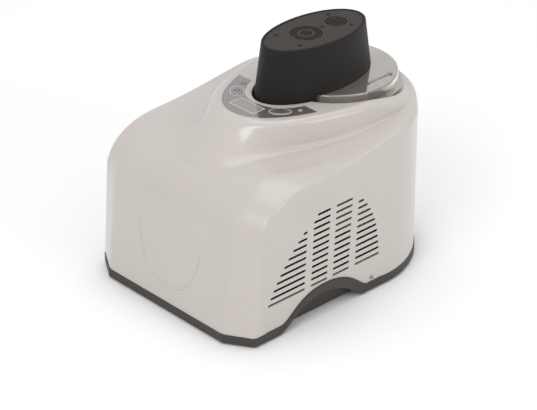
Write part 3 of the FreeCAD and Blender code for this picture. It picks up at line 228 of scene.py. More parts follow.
MATERIALS = {
    "white_shell": gloss_shell(),
    "dark_base": moulded("base_band", srgb(62, 57, 53), 0.52, 0.0007, 0.00003, specular=0.35).material,
    "motor_black": moulded("motor_skin", srgb(30, 27, 24), 0.55, 0.0006, 0.00003, 0.06, 0.22).material,
    "motor_grey": moulded("motor_plate", srgb(54, 49, 46), 0.6, 0.0007, 0.00004, 0.06, specular=0.3).material,
    "panel_grey": glossy_film("panel_film", srgb(102, 94, 93)),
    "key_grey": glossy_film("key_film", srgb(106, 98, 97)),
    "display": display_pane(),
    "lamp": moulded("lamp_lens", srgb(196, 190, 180), 0.2, 0.0004, 0.00001, tint=0.05).material,
    "clear_lid": clear_plastic(),
    "aluminium": worked_metal("turned_aluminium", srgb(205, 205, 206), 0.34, (1.0, 1.0, 26.0), 60.0, 0.00002),
    "copper": worked_metal("drawn_copper", srgb(196, 122, 88), 0.32, (1.0, 1.0, 1.0), 120.0, 0.00002, 0.14),
    "steel": worked_metal("zinc_steel", srgb(168, 168, 172), 0.38, (1.0, 8.0, 1.0), 200.0, 0.00002, 0.1),
    "compressor_black": moulded("can_paint", srgb(26, 26, 28), 0.42, 0.0016, 0.00008, tint=0.1).material,
    "foam": foam_jacket(),
    "rubber": moulded("rubber", srgb(34, 33, 32), 0.8, 0.0008, 0.00006, tint=0.12, specular=0.3).material,
    "circuit_board": board_laminate(),
    "black_plastic": moulded("black_plastic", srgb(30, 30, 31), 0.5, 0.0006, 0.00003, 0.08, 0.35).material,
    "gear_white": moulded("gear_acetal", srgb(232, 229, 219), 0.38, 0.0006, 0.00001, tint=0.02).material,
    "bronze": worked_metal("sintered_bronze", srgb(178, 134, 76), 0.45, (1, 1, 1), 500.0, 0.00003, 0.12),
    "paddle_white": moulded("paddle_plastic", srgb(232, 230, 224), 0.3, 0.0006, 0.00001, tint=0.02).material,
}
BLACKENED = worked_metal("blackened_steel", srgb(52, 49, 47), 0.42, (1.0, 8.0, 1.0), 200.0, 0.00002, 0.1)
PRINT_WHITE = moulded("print_white", srgb(226, 220, 216), 0.45, 0.0004, 0.00001, tint=0.03).material
PRINT_DARK = moulded("print_dark", srgb(70, 62, 61), 0.45, 0.0004, 0.00001, tint=0.04).material


# ---- mesh helpers ----------------------------------------------------------
def finish_piece(obj, body, material, replaced=(), smooth=32):
    """Bakes an object's modifiers into its mesh, shades it and parents it to its body's empty."""
    graph = bpy.context.evaluated_depsgraph_get()
    mesh = bpy.data.meshes.new_from_object(obj.evaluated_get(graph))
    obj.modifiers.clear()
    obj.data = mesh
    mesh.shade_smooth()
    mesh.set_sharp_from_angle(angle=math.radians(smooth))
    mesh.materials.clear()
    mesh.materials.append(material)
    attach(obj, body)
    if replaced:
        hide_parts(*replaced)
    return obj


def add_object(name, mesh):
    obj = bpy.data.objects.new(name, mesh)
    bpy.context.scene.collection.objects.link(obj)
    return obj


def from_bmesh(name, bm):
    mesh = bpy.data.meshes.new(name)
    bmesh.ops.recalc_face_normals(bm, faces=bm.faces)
    bm.to_mesh(mesh)
    bm.free()
    return add_object(name, mesh)


def extrude_outline(bm, points, vector):
    """Adds a closed prism on a planar outline."""
    low = [bm.verts.new(p) for p in points]
    high = [bm.verts.new(Vector(p) + vector) for p in points]
    count = len(points)
    bm.faces.new(low)
    bm.faces.new(list(reversed(high)))
    for i in range(count):
        j = (i + 1) % count
        bm.faces.new((low[j], low[i], high[i], high[j]))


def cut(obj, cutter, solver="MANIFOLD"):
    """Subtracts cutter from obj and removes it."""
    modifier = obj.modifiers.new("cut", "BOOLEAN")
    modifier.operation = "DIFFERENCE"
    modifier.solver = solver
    modifier.object = cutter
    graph = bpy.context.evaluated_depsgraph_get()
    mesh = bpy.data.meshes.new_from_object(obj.evaluated_get(graph))
    obj.modifiers.clear()
    obj.data = mesh
    bpy.data.objects.remove(cutter)


def weight_normals(obj):
    """Keeps large flat faces flat beside their rounded edges."""
    modifier = obj.modifiers.new("weights", "WEIGHTED_NORMAL")
    modifier.keep_sharp = True
    graph = bpy.context.evaluated_depsgraph_get()
    mesh = bpy.data.meshes.new_from_object(obj.evaluated_get(graph))
    obj.modifiers.clear()
    obj.data = mesh


def refined(node, name, body, slot, width=0.4, segments=2, angle=30):
    """A CAD node's mesh with its hard edges rounded, standing for that node."""
    bm = bmesh.new()
    bm.from_mesh(frame["nodes"][node].data)
    bmesh.ops.remove_doubles(bm, verts=bm.verts, dist=2e-6)
    bmesh.ops.dissolve_limit(bm, angle_limit=math.radians(0.5), verts=bm.verts, edges=bm.edges)
    obj = from_bmesh(name, bm)
    bevel = obj.modifiers.new("edges", "BEVEL")
    bevel.width = width * MM
    bevel.segments = segments
    bevel.limit_method = "ANGLE"
    bevel.angle_limit = math.radians(angle)
    bevel.use_clamp_overlap = True
    finish_piece(obj, body, MATERIALS[slot], [node])
    weight_normals(obj)
    return obj


# ---- housing form -----------------------------------------------------------
HALF = 145.0
CHAMFER_X = 108.8
SIDE_END = 257.0
REAR = 392.0
BASE_H = 11.3
TOP = 200.5
REAR_TOP = 218.5
TOWER_TOP = 238.0
WALL = 2.6
FRONT_FOOT, FRONT_KNEE = (-1.2, -1.0), (14.0, 137.0)       # d and z of the leaning front face's ends
FRONT_LEAN = (FRONT_KNEE[0] - FRONT_FOOT[0]) / (FRONT_KNEE[1] - FRONT_FOOT[1])


def bezier(poles, count):
    t = np.linspace(0, 1, count)[:, None]
    p = [np.array(q, float) for q in poles]
    return (1 - t) ** 3 * p[0] + 3 * (1 - t) ** 2 * t * p[1] + 3 * (1 - t) * t * t * p[2] + t ** 3 * p[3]


def join(*runs):
    """One polyline from runs that share their end points."""
    return np.vstack([runs[0]] + [run[1:] for run in runs[1:]])


class Outline:
    """Signed distance to an open polyline, with the solid on its right-hand side."""

    def __init__(self, points):
        self.p = points[:-1]
        self.d = points[1:] - points[:-1]
        self.len2 = (self.d ** 2).sum(1)
        self.steps = np.sqrt(self.len2)
        self.start = np.concatenate([[0], np.cumsum(self.steps)[:-1]])

    def __call__(self, u, v):
        """Distance, positive outside, and the arc length of the nearest point."""
        u, v = np.broadcast_arrays(np.asarray(u, float), np.asarray(v, float))
        ru = u.reshape(-1, 1) - self.p[:, 0]
        rv = v.reshape(-1, 1) - self.p[:, 1]
        t = np.clip((ru * self.d[:, 0] + rv * self.d[:, 1]) / self.len2, 0, 1)
        qu, qv = ru - t * self.d[:, 0], rv - t * self.d[:, 1]
        dist = qu * qu + qv * qv
        near = dist.argmin(1)
        row = np.arange(len(near))
        side = self.d[near, 0] * qv[row, near] - self.d[near, 1] * qu[row, near]
        along = self.start[near] + t[row, near] * self.steps[near]
        gap = np.sqrt(dist[row, near]) * np.where(side >= 0, 1, -1)
        return gap.reshape(u.shape), along.reshape(u.shape)


def round_max(a, b, r):
    """Overlap of two forms with an edge of radius r."""
    return np.minimum(np.maximum(a, b), -r) + np.hypot(np.maximum(a + r, 0), np.maximum(b + r, 0))


def round_min(a, b, r):
    """Union of two forms with a hollow fillet of radius r."""
    return np.maximum(np.minimum(a, b), r) - np.hypot(np.maximum(r - a, 0), np.maximum(r - b, 0))


def smooth(t):
    t = np.clip(t, 0, 1)
    return t * t * (3 - 2 * t)


PROFILE = Outline(join(np.array([FRONT_FOOT, FRONT_KNEE]),
                       bezier([FRONT_KNEE, (17.3, 167), (48, TOP), (110, TOP)], 40),
                       bezier([(140, TOP), (235, TOP), (268, REAR_TOP), (350, REAR_TOP)], 32),
                       np.array([[350, REAR_TOP], [500, REAR_TOP]])))
PLAN = Outline(join(np.array([[HALF, -60], [HALF, SIDE_END]]),
                    bezier([(HALF, SIDE_END), (HALF, 285), (131, 317.5), (112, 338)], 24),
                    bezier([(112, 338), (81.4, 371), (40, REAR), (0, REAR)], 24),
                    np.array([[0, REAR], [-60, REAR]]))[::-1])
TOWER_FOOT = Outline(join(np.array([[-40, 66], [0, 66]]),
                          bezier([(0, 66), (30, 66), (45, 83), (54, 105)], 20),
                          bezier([(54, 105), (79, 164), (113, 235), (113, LID_D)], 24),
                          bezier([(113, LID_D), (113, 347), (70, 389), (0, 389)], 24),
                          np.array([[0, 389], [-40, 389]]))[::-1])
TOWER_CROWN = Outline(join(np.array([[-40, 106], [0, 106]]),
                           bezier([(0, 106), (30, 106), (52, 123), (67, 149)], 20),
                           bezier([(67, 149), (85, 180), (100, 235), (109, LID_D)], 24),
                           bezier([(109, LID_D), (109, 345), (69, 387), (0, 387)], 24),
                           np.array([[0, 387], [-40, 387]]))[::-1])
FIELD = Outline(np.array([[41, 40], [41, 63], [59, 87], [77, 107], [95.5, 125], [116, 149], [132, 161],
                          [156, 166], [179, 164], [198, 155], [218, 139], [236, 110], [243, 89],
                          [243, 40]], float))
FIELD_DEPTH, FIELD_EDGE = 0.8, 7.0     # the vent field lies this far back, within this width of edge
CHAMFER_ALONG = (0, 138, 185, 225, 256, 290, 323, 374, 410, 440)
CHAMFER_DEPTH = (22.5, 15.8, 12.0, 10.0, 8.8, 7.0, 5.0, 2.8, 1.4, 0.6)
FRONT_EDGE_R = 2.6
SIDE_EDGE_R, SIDE_EDGE_GROWTH = 3.0, 9.5       # the side edge's radius, and its growth beside the lid
SOFT_START, SOFT_RUN, SOFT_END, SOFT_FADE = 200, 120, 377, 36      # where along d that growth comes and goes
CROWN_START, CROWN_RUN, CROWN_DROP = 262, 100, 18.7
CROWN_EDGE_R, CROWN_EDGE_GROWTH = 7.5, 11.0
FILLET_AT, FILLET_R = (110, 190, 330), (11.0, 5.5, 1.2)        # hollow fillet round the tower's foot


def form(x, y, z):
    """Housing form: negative inside, positive outside."""
    ax = np.abs(x)
    front, along = PROFILE(y, z)
    side = PLAN(ax, y)[0]
    field = smooth(0.5 - FIELD(y, z)[0] / FIELD_EDGE) * (np.abs(side) < 12)
    side = side + FIELD_DEPTH * field
    width = HALF - CHAMFER_X
    depth = np.interp(along, CHAMFER_ALONG, CHAMFER_DEPTH)
    chamfer = (1 + side / width + front / depth) / np.sqrt(1 / width ** 2 + 1 / depth ** 2)
    soft = smooth((y - SOFT_START) / SOFT_RUN) * smooth((SOFT_END - y) / SOFT_FADE)
    body = round_max(round_max(front, chamfer, FRONT_EDGE_R), side, SIDE_EDGE_R + SIDE_EDGE_GROWTH * soft)
    lowered = smooth((y - CROWN_START) / CROWN_RUN)
    crown = TOWER_TOP - CROWN_DROP * lowered
    foot = TOWER_FOOT(ax, y)[0]
    climb = np.clip((z - TOP) / (TOWER_TOP - 4.0 - TOP), -0.2, 1.1)
    wall = foot + climb * (TOWER_CROWN(ax, y)[0] - foot)
    tower = round_max(wall, z - crown, CROWN_EDGE_R + CROWN_EDGE_GROWTH * lowered)
    return round_min(body, tower, np.interp(y, FILLET_AT, FILLET_R))


CENTRE_D = 270.0       # the skin's lines fan out from here
RECESS_R = 97.0
WELL_HOLE_R = 81.0
MOTOR_A, MOTOR_B = 52.6, 96.2
RIM_R = 1.2
HUB_DECK = 218.3       # height of the deck round the well hole
LONGEST_TRACE = 600


def circle_hit(s, radius):
    """Distance from the fan's centre to a circle round the lid's axis, along the direction of sine s."""
    dy = CENTRE_D - LID_D
    half = dy * s
    return -half + np.sqrt(half * half - dy * dy + radius * radius)


def lobe_hit(c, s):
    """Distance from the fan's centre to the ellipse round the motor unit's foot."""
    dy = CENTRE_D - MOTOR_D
    qa = (c / MOTOR_A) ** 2 + (s / MOTOR_B) ** 2
    qb = dy * s / MOTOR_B ** 2
    qc = (dy / MOTOR_B) ** 2 - 1
    return (-qb + np.sqrt(qb * qb - qa * qc)) / qa


def directions(count):
    """Angles from the front to the rear, denser at the front corners, one on the recess cusp."""
    fine = np.linspace(-math.pi / 2, math.pi / 2, 4001)
    weight = np.ones_like(fine)
    for x, y in ((CHAMFER_X, 0), (HALF, CHAMFER_DEPTH[0])):
        at = math.atan2(y - CENTRE_D, x)
        weight += 3.5 * np.exp(-((fine - at) / 0.035) ** 2)
    total = np.concatenate([[0], np.cumsum((weight[1:] + weight[:-1]) / 2)])
    angles = np.interp(np.linspace(0, total[-1], count), total, fine)
    gap = lobe_hit(np.cos(fine), np.sin(fine)) - circle_hit(np.sin(fine), RECESS_R)
    cusp = fine[np.argmax((gap[:-1] > 0) & (gap[1:] <= 0))]
    angles[np.argmin(np.abs(angles - cusp))] = cusp
    angles[-1] = math.pi / 2
    return angles


def crown_height(r, c, s, inset):
    """Height of the inset form's upper surface above points at distance r."""
    low, high = np.full_like(r, 190.0), np.full_like(r, 250.0)
    for _ in range(40):
        mid = (low + high) / 2
        inside = form(r * c, CENTRE_D + r * s, mid) < -inset
        low, high = np.where(inside, mid, low), np.where(inside, high, mid)
    return low


def trace(angles, r, z, inset, step):
    """Follows the inset form outwards and down in each direction's vertical plane."""
    c, s = np.cos(angles), np.sin(angles)

    def value(rr, zz):
        return form(rr * c, CENTRE_D + rr * s, zz) + inset

    def gradient(rr, zz):
        h = 0.05
        gr = (value(rr + h, zz) - value(rr - h, zz)) / (2 * h)
        gz = (value(rr, zz + h) - value(rr, zz - h)) / (2 * h)
        return gr, gz

    path = [(r.copy(), z.copy())]
    while True:
        gr, gz = gradient(r, z)
        size = np.hypot(gr, gz) + 1e-9
        r2, z2 = r + step * gz / size, z - step * gr / size
        for _ in range(2):
            f = value(r2, z2)
            gr2, gz2 = gradient(r2, z2)
            n2 = gr2 ** 2 + gz2 ** 2 + 1e-9
            r2, z2 = r2 - f * gr2 / n2, z2 - f * gz2 / n2
        going = z > BASE_H
        r, z = np.where(going, r2, r), np.where(going, z2, z)
        path.append((r.copy(), z.copy()))
        if not going.any() or len(path) > LONGEST_TRACE:
            return np.array(path)


def resample(path, count):
    """Even stations along each traced line, closer together where it bends."""
    rr, zz = path[:, 0], path[:, 1]
    step = np.hypot(np.diff(rr, axis=0), np.diff(zz, axis=0))
    heading = np.unwrap(np.arctan2(np.diff(zz, axis=0), np.diff(rr, axis=0) + 1e-12), axis=0)
    turn = np.abs(np.diff(heading, axis=0, prepend=heading[:1]))
    turn[step < 0.2] = 0
    kernel = np.ones(7) / 7
    turn = np.apply_along_axis(lambda t: np.convolve(t, kernel, "same"), 0, turn)
    turn = np.apply_along_axis(lambda t: np.convolve(np.pad(t, 3, mode="edge"), kernel, "valid"), 1, turn)
    weight = step * (1 + 4.9 * np.minimum(turn, 0.16) / 0.16)
    lines = []
    for k in range(rr.shape[1]):
        total = np.concatenate([[0], np.cumsum(weight[:, k])])
        end = np.interp(-BASE_H, -zz[:, k], total) if zz[-1, k] < BASE_H else total[-1]
        at = np.linspace(0, end, count)
        r = np.interp(at, total, rr[:, k])
        z = np.interp(at, total, zz[:, k])
        z[-1] = BASE_H
        lines.append(np.stack([r, z], 1))
    return lines


def rim_head(hole, rim, top):
    """Profile from the well hole over the deck and up the recess wall to its rounded rim."""
    drop = min(RIM_R, 0.45 * (top - HUB_DECK))
    foot = HUB_DECK + 0.25 * drop
    points = [(hole, HUB_DECK - 0.5), (hole + 0.5, HUB_DECK)]
    points += [(hole + share * (rim - hole), HUB_DECK) for share in (0.25, 0.5, 0.75)]
    points += [(rim - 0.5, HUB_DECK), (rim, foot)]
    points += [(rim, foot + share * (top - drop - foot)) for share in (0.35, 0.7, 1.0)]
    for degrees in (30, 60):
        a = math.radians(degrees)
        points.append((rim + RIM_R * (1 - math.cos(a)), top - drop + drop * math.sin(a)))
    return points


def shell_loops(n_angles=170, n_outer=116, n_inner=36):
    """Right half of the shell: one closed loop of points per direction, outside then inside."""
    angles = directions(n_angles)
    c, s = np.cos(angles), np.sin(angles)
    radius = RECESS_R - 7.0 * smooth(s * 1.15 + 0.08)
    rim = np.maximum(lobe_hit(c, s), circle_hit(s, radius))
    hole = circle_hit(s, WELL_HOLE_R)
    top = crown_height(rim + RIM_R, c, s, 0.0)
    outer = resample(trace(angles, rim + RIM_R, top, 0.0, 1.0), n_outer)
    under = rim + WALL
    top_in = crown_height(under, c, s, WALL)
    inner = resample(trace(angles, under, top_in, WALL, 2.0), n_inner)
    loops = []
    for k in range(n_angles):
        head = rim_head(hole[k], rim[k], top[k])
        back = [(under[k], HUB_DECK - WALL), (hole[k] + 0.3, HUB_DECK - WALL)]
        loop = np.vstack([np.array(head), outer[k], inner[k][::-1], np.array(back)])
        loops.append(np.stack([loop[:, 0] * c[k], CENTRE_D + loop[:, 0] * s[k], loop[:, 1]], 1))
    return np.array(loops)


def shell_mesh():
    right = shell_loops()
    left = right[-2:0:-1] * np.array([-1.0, 1.0, 1.0])
    loops = np.vstack([right, left])
    rings, count = loops.shape[:2]
    points = loops.reshape(-1, 3) * MM + np.array([0.0, FRONT, FLOOR_GAP])
    faces = []
    for k in range(rings):
        a, b = k * count, (k + 1) % rings * count
        for j in range(count):
            nxt = (j + 1) % count
            faces.append((a + j, a + nxt, b + nxt, b + j))
    mesh = bpy.data.meshes.new("housing_skin")
    mesh.from_pydata(points.tolist(), [], faces)
    bm = bmesh.new()
    bm.from_mesh(mesh)
    bmesh.ops.recalc_face_normals(bm, faces=bm.faces)
    bm.to_mesh(mesh)
    bm.free()
    return mesh


# ---- openings in the housing ---------------------------------------------------
SLOT_H, SLOT_PITCH, SLOT_ROW0, SLOT_ROWS = 3.4, 8.9, 48.0, 12
SLOT_LEAN, SLOT_MIN = 0.48, 6.0
MIDDLE_SLOTS = [(117.6, 146.3), (155.8, 184.6)]
FRONT_SLOT_END, REAR_SLOT_START = 107.3, 194.9
FRONT_ARCH = (44.7, 0.438, 0.00387)
REAR_ARCH = (238.8, -0.07, 0.0, -0.0000325)
VENT_SKIN = 1.5
VENT_POCKET = (43.0, 241.0, 46.5, 150.0)
ARCH_D = 141.5
ARCH_HALVES = [[(-74.0, BASE_H), (-58.0, 13.0), (-44.0, 43.0), (0.0, 43.0)],
               [(0.0, 43.0), (48.0, 43.5), (62.0, 15.0), (75.5, BASE_H)]]
INLET_Z, INLET_W, INLET_H = 52.0, 33.0, 26.0
SOCKET_D = 184.0
KEYS = {"start_button": (-40.0, 162.5, 137.0), "timer_button": (40.0, 162.5, 43.0)}
KEY_A, KEY_B = 13.0, 7.6
LCD = (-21.0, 21.0, 134.0, 152.4)
LED_X, LED_D = 55.0, 183.0
REAR_SLOTS, REAR_SLOT_Z, REAR_SLOT_PITCH, REAR_SLOT_HALF = 6, 86, 9, 34
CUT_DEPTH = 8       # side cutters start this far inside the wall


def slot_spans(row):
    """Front and rear ends of each slot in one row, fitted into the arch-shaped field."""
    up = row * SLOT_PITCH
    lean = SLOT_LEAN * row
    front_end = sum(term * up ** power for power, term in enumerate(FRONT_ARCH))
    rear_end = sum(term * up ** power for power, term in enumerate(REAR_ARCH))
    spans = [(start + lean, end + lean) for start, end in MIDDLE_SLOTS]
    if row == SLOT_ROWS - 1:
        return [(spans[0][0] + SLOT_MIN, spans[0][1]), spans[1]]
    if front_end + SLOT_MIN < FRONT_SLOT_END + lean:
        spans.append((front_end, FRONT_SLOT_END + lean))
    if rear_end - SLOT_MIN > REAR_SLOT_START + lean:
        spans.append((REAR_SLOT_START + lean, rear_end))
    return spans


def capsule(x, start, end, z, half):
    """Round-ended slot outline in the side wall's plane."""
    points = []
    for middle, first in ((end - half, -90), (start + half, 90)):
        for step in range(7):
            a = math.radians(first + 30 * step)
            points.append(place(x, middle + half * math.cos(a), z + half * math.sin(a)))
    return points


def arch_outline(x, grow, low):
    """Bell-shaped outline of the hand hold in the side wall's plane."""
    halves = []
    for half in ARCH_HALVES:
        poles = [(ARCH_D + d + math.copysign(grow, d) * (abs(d) > 10), z + grow * (z > 20)) for d, z in half]
        halves.append(bezier(poles, 24))
    line = join(*halves).tolist()
    line += [(line[-1][0], low), (line[0][0], low)]
    return [place(x, d, z) for d, z in line]


def side_cutters():
    """Vent slots and hand-hold arches of both sides."""
    bm = bmesh.new()
    for side in (-1, 1):
        x0 = side * (HALF - CUT_DEPTH)
        across = Vector((side * 2 * CUT_DEPTH * MM, 0, 0))
        for row in range(SLOT_ROWS):
            for start, end in slot_spans(row):
                extrude_outline(bm, capsule(x0, start, end, SLOT_ROW0 + row * SLOT_PITCH, SLOT_H / 2), across)
        extrude_outline(bm, arch_outline(x0, 0.4, -4.0), across)
    return from_bmesh("side_cutters", bm)


def pocket_cutters():
    """Thins the side walls behind the vents."""
    d0, d1, z0, z1 = VENT_POCKET
    bm = bmesh.new()
    for side in (-1, 1):
        x0 = side * (HALF - CUT_DEPTH)
        across = Vector((side * (CUT_DEPTH - VENT_SKIN) * MM, 0, 0))
        corners = ((d0, z0), (d1, z0), (d1, z1), (d0, z1))
        extrude_outline(bm, [place(x0, d, z) for d, z in corners], across)
    return from_bmesh("pocket_cutters", bm)


def ellipse(x, d, z, a, b, turn, count=48):
    points = []
    t = math.radians(turn)
    for i in range(count):
        p = 2 * math.pi * i / count
        u, v = a * math.cos(p), b * math.sin(p)
        points.append(place(x + u * math.cos(t) - v * math.sin(t), d + u * math.sin(t) + v * math.cos(t), z))
    return points


def crescent(inset, z):
    """Control panel outline between two arcs round the motor unit's nose."""
    t = inset
    outer = bezier([(0, 118.5 + t), (34, 118.5 + t), (57 - t, 150), (72.5 - t, 196.4 - t)], 32)
    inner = bezier([(49.5 + t, 196.4 - t), (40 + t, 172 - t), (26, 157 - t), (0, 157 - t)], 32)
    right = np.vstack([outer, inner])
    left = right[::-1] * np.array([-1.0, 1.0])
    outline = np.vstack([right, left[1:-1]])
    return [place(x, d, z) for x, d in outline.tolist()]


def box_outline(x0, x1, d0, d1, z):
    return [place(x0, d0, z), place(x1, d0, z), place(x1, d1, z), place(x0, d1, z)]


def panel_cutters():
    """Shallow recess for the panel film."""
    bm = bmesh.new()
    extrude_outline(bm, crescent(0.0, TOWER_TOP - 0.6), Vector((0, 0, 3 * MM)))
    return from_bmesh("panel_cutters", bm)


def hole_cutters():
    """Key, display and lamp openings, the motor unit's socket, and the rear inlet and slots."""
    bm = bmesh.new()
    up = Vector((0, 0, 12 * MM))
    low = TOWER_TOP - 8
    for x, d, turn in KEYS.values():
        extrude_outline(bm, ellipse(x, d, low, KEY_A + 0.4, KEY_B + 0.4, turn), up)
    x0, x1, d0, d1 = LCD
    extrude_outline(bm, box_outline(x0, x1, d0, d1, low), up)
    extrude_outline(bm, ellipse(LED_X, LED_D, low, 1.6, 1.6, 0, 20), up)
    extrude_outline(bm, box_outline(-12, 12, SOCKET_D - 6, SOCKET_D + 6, HUB_DECK - 6), up)
    rear = REAR - 10
    deep = Vector((0, 16 * MM, 0))
    half = INLET_W / 2
    z0, z1 = INLET_Z - INLET_H / 2, INLET_Z + INLET_H / 2
    corners = ((-half, z0), (half, z0), (half, z1), (-half, z1))
    extrude_outline(bm, [place(x, rear, z) for x, z in corners], deep)
    for row in range(REAR_SLOTS):
        z = REAR_SLOT_Z + REAR_SLOT_PITCH * row
        z0, z1 = z - SLOT_H / 2, z + SLOT_H / 2
        corners = ((-REAR_SLOT_HALF, z0), (REAR_SLOT_HALF, z0), (REAR_SLOT_HALF, z1), (-REAR_SLOT_HALF, z1))
        extrude_outline(bm, [place(x, rear, zz) for x, zz in corners], deep)
    return from_bmesh("hole_cutters", bm)


def build_housing():
    shell = add_object("housing_skin", shell_mesh())
    for cutter in (pocket_cutters(), side_cutters(), panel_cutters(), hole_cutters()):
        cut(shell, cutter)
    finish_piece(shell, "housing", MATERIALS["white_shell"], ["housing_shell"], smooth=38)


# ---- front bead -----------------------------------------------------------------
RELIEF_HALF, RELIEF_LOW, RELIEF_TOP = 57.0, 33.0, 107.0
# the bead's section: across it, and out from the front face
RELIEF_ARC = ((-2.1, -0.4), (-1.9, 0.35), (-1.3, 0.95), (0.0, 1.2), (1.3, 0.95), (1.9, 0.35), (2.1, -0.4))


def build_front_relief():
    """Raised U-shaped bead on the leaning front face."""
    right = bezier([(RELIEF_HALF, RELIEF_TOP), (RELIEF_HALF - 2, 60),
                    (0.6 * RELIEF_HALF, RELIEF_LOW), (0, RELIEF_LOW)], 48)
    line = np.vstack([right, right[-2::-1] * np.array([-1.0, 1.0])])
    tangent = np.gradient(line, axis=0)
    tangent /= np.linalg.norm(tangent, axis=1)[:, None]
    normal = np.stack([-tangent[:, 1], tangent[:, 0]], 1)
    bm = bmesh.new()
    rows = []
    for i, (x, z) in enumerate(line):
        grow = min(1.0, 0.25 + min(i, len(line) - 1 - i) / 6)
        row = []
        for across, up in RELIEF_ARC:
            px, pz = np.array([x, z]) + across * normal[i]
            d = FRONT_FOOT[0] + (pz - FRONT_FOOT[1]) * FRONT_LEAN
            row.append(bm.verts.new(place(px, d - up * grow, pz)))
        rows.append(row)
    for a, b in zip(rows, rows[1:]):
        for j in range(len(RELIEF_ARC)):
            k = (j + 1) % len(RELIEF_ARC)
            bm.faces.new((a[j], a[k], b[k], b[j]))
    bm.faces.new(rows[0])
    bm.faces.new(list(reversed(rows[-1])))
    bead = from_bmesh("front_relief", bm)
    finish_piece(bead, "housing", MATERIALS["white_shell"], smooth=70)


# ---- side screws --------------------------------------------------------------
SCREW_D, SCREW_Z = 225.8, 16.8
SCREW_SIDES = 24
SCREW_STEPS = ((2.5, -0.8), (2.5, 0.3), (2.2, 0.65), (1.5, 0.85), (0.8, 0.92))     # radius, rise off the wall
CROSS_ARM, CROSS_HALF = 1.5, 0.35


def build_side_screws():
    """Pan-head screw with a cross recess, low on each side."""
    heads, crosses = bmesh.new(), bmesh.new()
    w, arm = CROSS_HALF, CROSS_ARM
    plus = [(w, w), (w, arm), (-w, arm), (-w, w), (-arm, w), (-arm, -w)]
    plus += [(-u, -v) for u, v in plus]
    turns = [2 * math.pi * k / SCREW_SIDES for k in range(SCREW_SIDES)]
    for side in (-1, 1):
        rings = []
        for radius, rise in SCREW_STEPS:
            circle = [(SCREW_D + radius * math.cos(t), SCREW_Z + radius * math.sin(t)) for t in turns]
            rings.append([heads.verts.new(place(side * (HALF + rise), d, z)) for d, z in circle])
        for a, b in zip(rings, rings[1:]):
            for j in range(SCREW_SIDES):
                k = (j + 1) % SCREW_SIDES
                heads.faces.new((a[j], a[k], b[k], b[j]))
        heads.faces.new(rings[0])
        heads.faces.new(list(reversed(rings[-1])))
        foot = [place(side * (HALF + 0.2), SCREW_D + u, SCREW_Z + v) for u, v in plus]
        extrude_outline(crosses, foot, Vector((side * 2 * MM, 0, 0)))
    screws = from_bmesh("side_screws", heads)
    cut(screws, from_bmesh("cross_cutters", crosses))
    finish_piece(screws, "housing", MATERIALS["steel"])


# ---- control panel -----------------------------------------------------------
PANEL_Z = TOWER_TOP + 0.2
PRINT_H = 0.12
LCD_MARGIN = 0.7        # the printed frame's centre line lies this far outside the display


def strip(bm, points, width, z, closed=True):
    """Thin raised printed line along a flat run of (x, d) points."""
    line = np.array(points, float)
    if closed:
        ahead, behind = np.roll(line, -1, axis=0), np.roll(line, 1, axis=0)
    else:
        ahead = np.vstack([line[1:], 2 * line[-1] - line[-2]])
        behind = np.vstack([2 * line[0] - line[1], line[:-1]])
    t1, t2 = line - behind, ahead - line
    t1 /= np.linalg.norm(t1, axis=1)[:, None]
    t2 /= np.linalg.norm(t2, axis=1)[:, None]
    n1 = np.stack([-t1[:, 1], t1[:, 0]], 1)
    n2 = np.stack([-t2[:, 1], t2[:, 0]], 1)
    mitre = n1 + n2
    mitre /= np.maximum((mitre * n1).sum(1), 0.3)[:, None]
    rows = []
    for p, m in zip(line, mitre):
        a, b = p - m * width / 2, p + m * width / 2
        corners = ((a, z - 0.1), (a, z + PRINT_H), (b, z + PRINT_H), (b, z - 0.1))
        rows.append([bm.verts.new(place(q[0], q[1], h)) for q, h in corners])
    count = len(rows)
    for i in range(count if closed else count - 1):
        a, b = rows[i], rows[(i + 1) % count]
        for j in range(4):
            k = (j + 1) % 4
            bm.faces.new((a[j], a[k], b[k], b[j]))
    if not closed:
        bm.faces.new(rows[0])
        bm.faces.new(list(reversed(rows[-1])))


def oval_points(x, d, a, b, turn, first=0, last=360, count=40):
    t = math.radians(turn)
    points = []
    total = count if last - first >= 360 else count - 1
    for i in range(count):
        p = math.radians(first + (last - first) * i / total)
        u, v = a * math.cos(p), b * math.sin(p)
        points.append((x + u * math.cos(t) - v * math.sin(t), d + u * math.sin(t) + v * math.cos(t)))
    return points


def build_panel_print():
    """White outlines round the display and keys, a lamp ring and short index bars."""
    bm = bmesh.new()
    x0, x1, d0, d1 = LCD
    x0, x1, d0, d1 = x0 - LCD_MARGIN, x1 + LCD_MARGIN, d0 - LCD_MARGIN, d1 + LCD_MARGIN
    strip(bm, [(x0, d0), (x1, d0), (x1, d1), (x0, d1)], 0.9, PANEL_Z)
    for x, d, turn in KEYS.values():
        strip(bm, oval_points(x, d, KEY_A + 1.0, KEY_B + 1.0, turn), 0.8, PANEL_Z)
    strip(bm, oval_points(LED_X, LED_D, 2.5, 2.5, 0, count=20), 0.5, PANEL_Z)
    white = from_bmesh("panel_print_white", bm)
    finish_piece(white, "housing", PRINT_WHITE)
    bm = bmesh.new()
    strip(bm, [(47.5, 178.0), (51.0, 185.5)], 1.3, PANEL_Z, closed=False)
    strip(bm, [(-46.0, 180.0), (-49.5, 187.5)], 1.3, PANEL_Z, closed=False)
    strip(bm, [(-50.0, 178.5), (-53.5, 186.0)], 1.3, PANEL_Z, closed=False)
    dark = from_bmesh("panel_print_dark", bm)
    finish_piece(dark, "housing", PRINT_DARK)


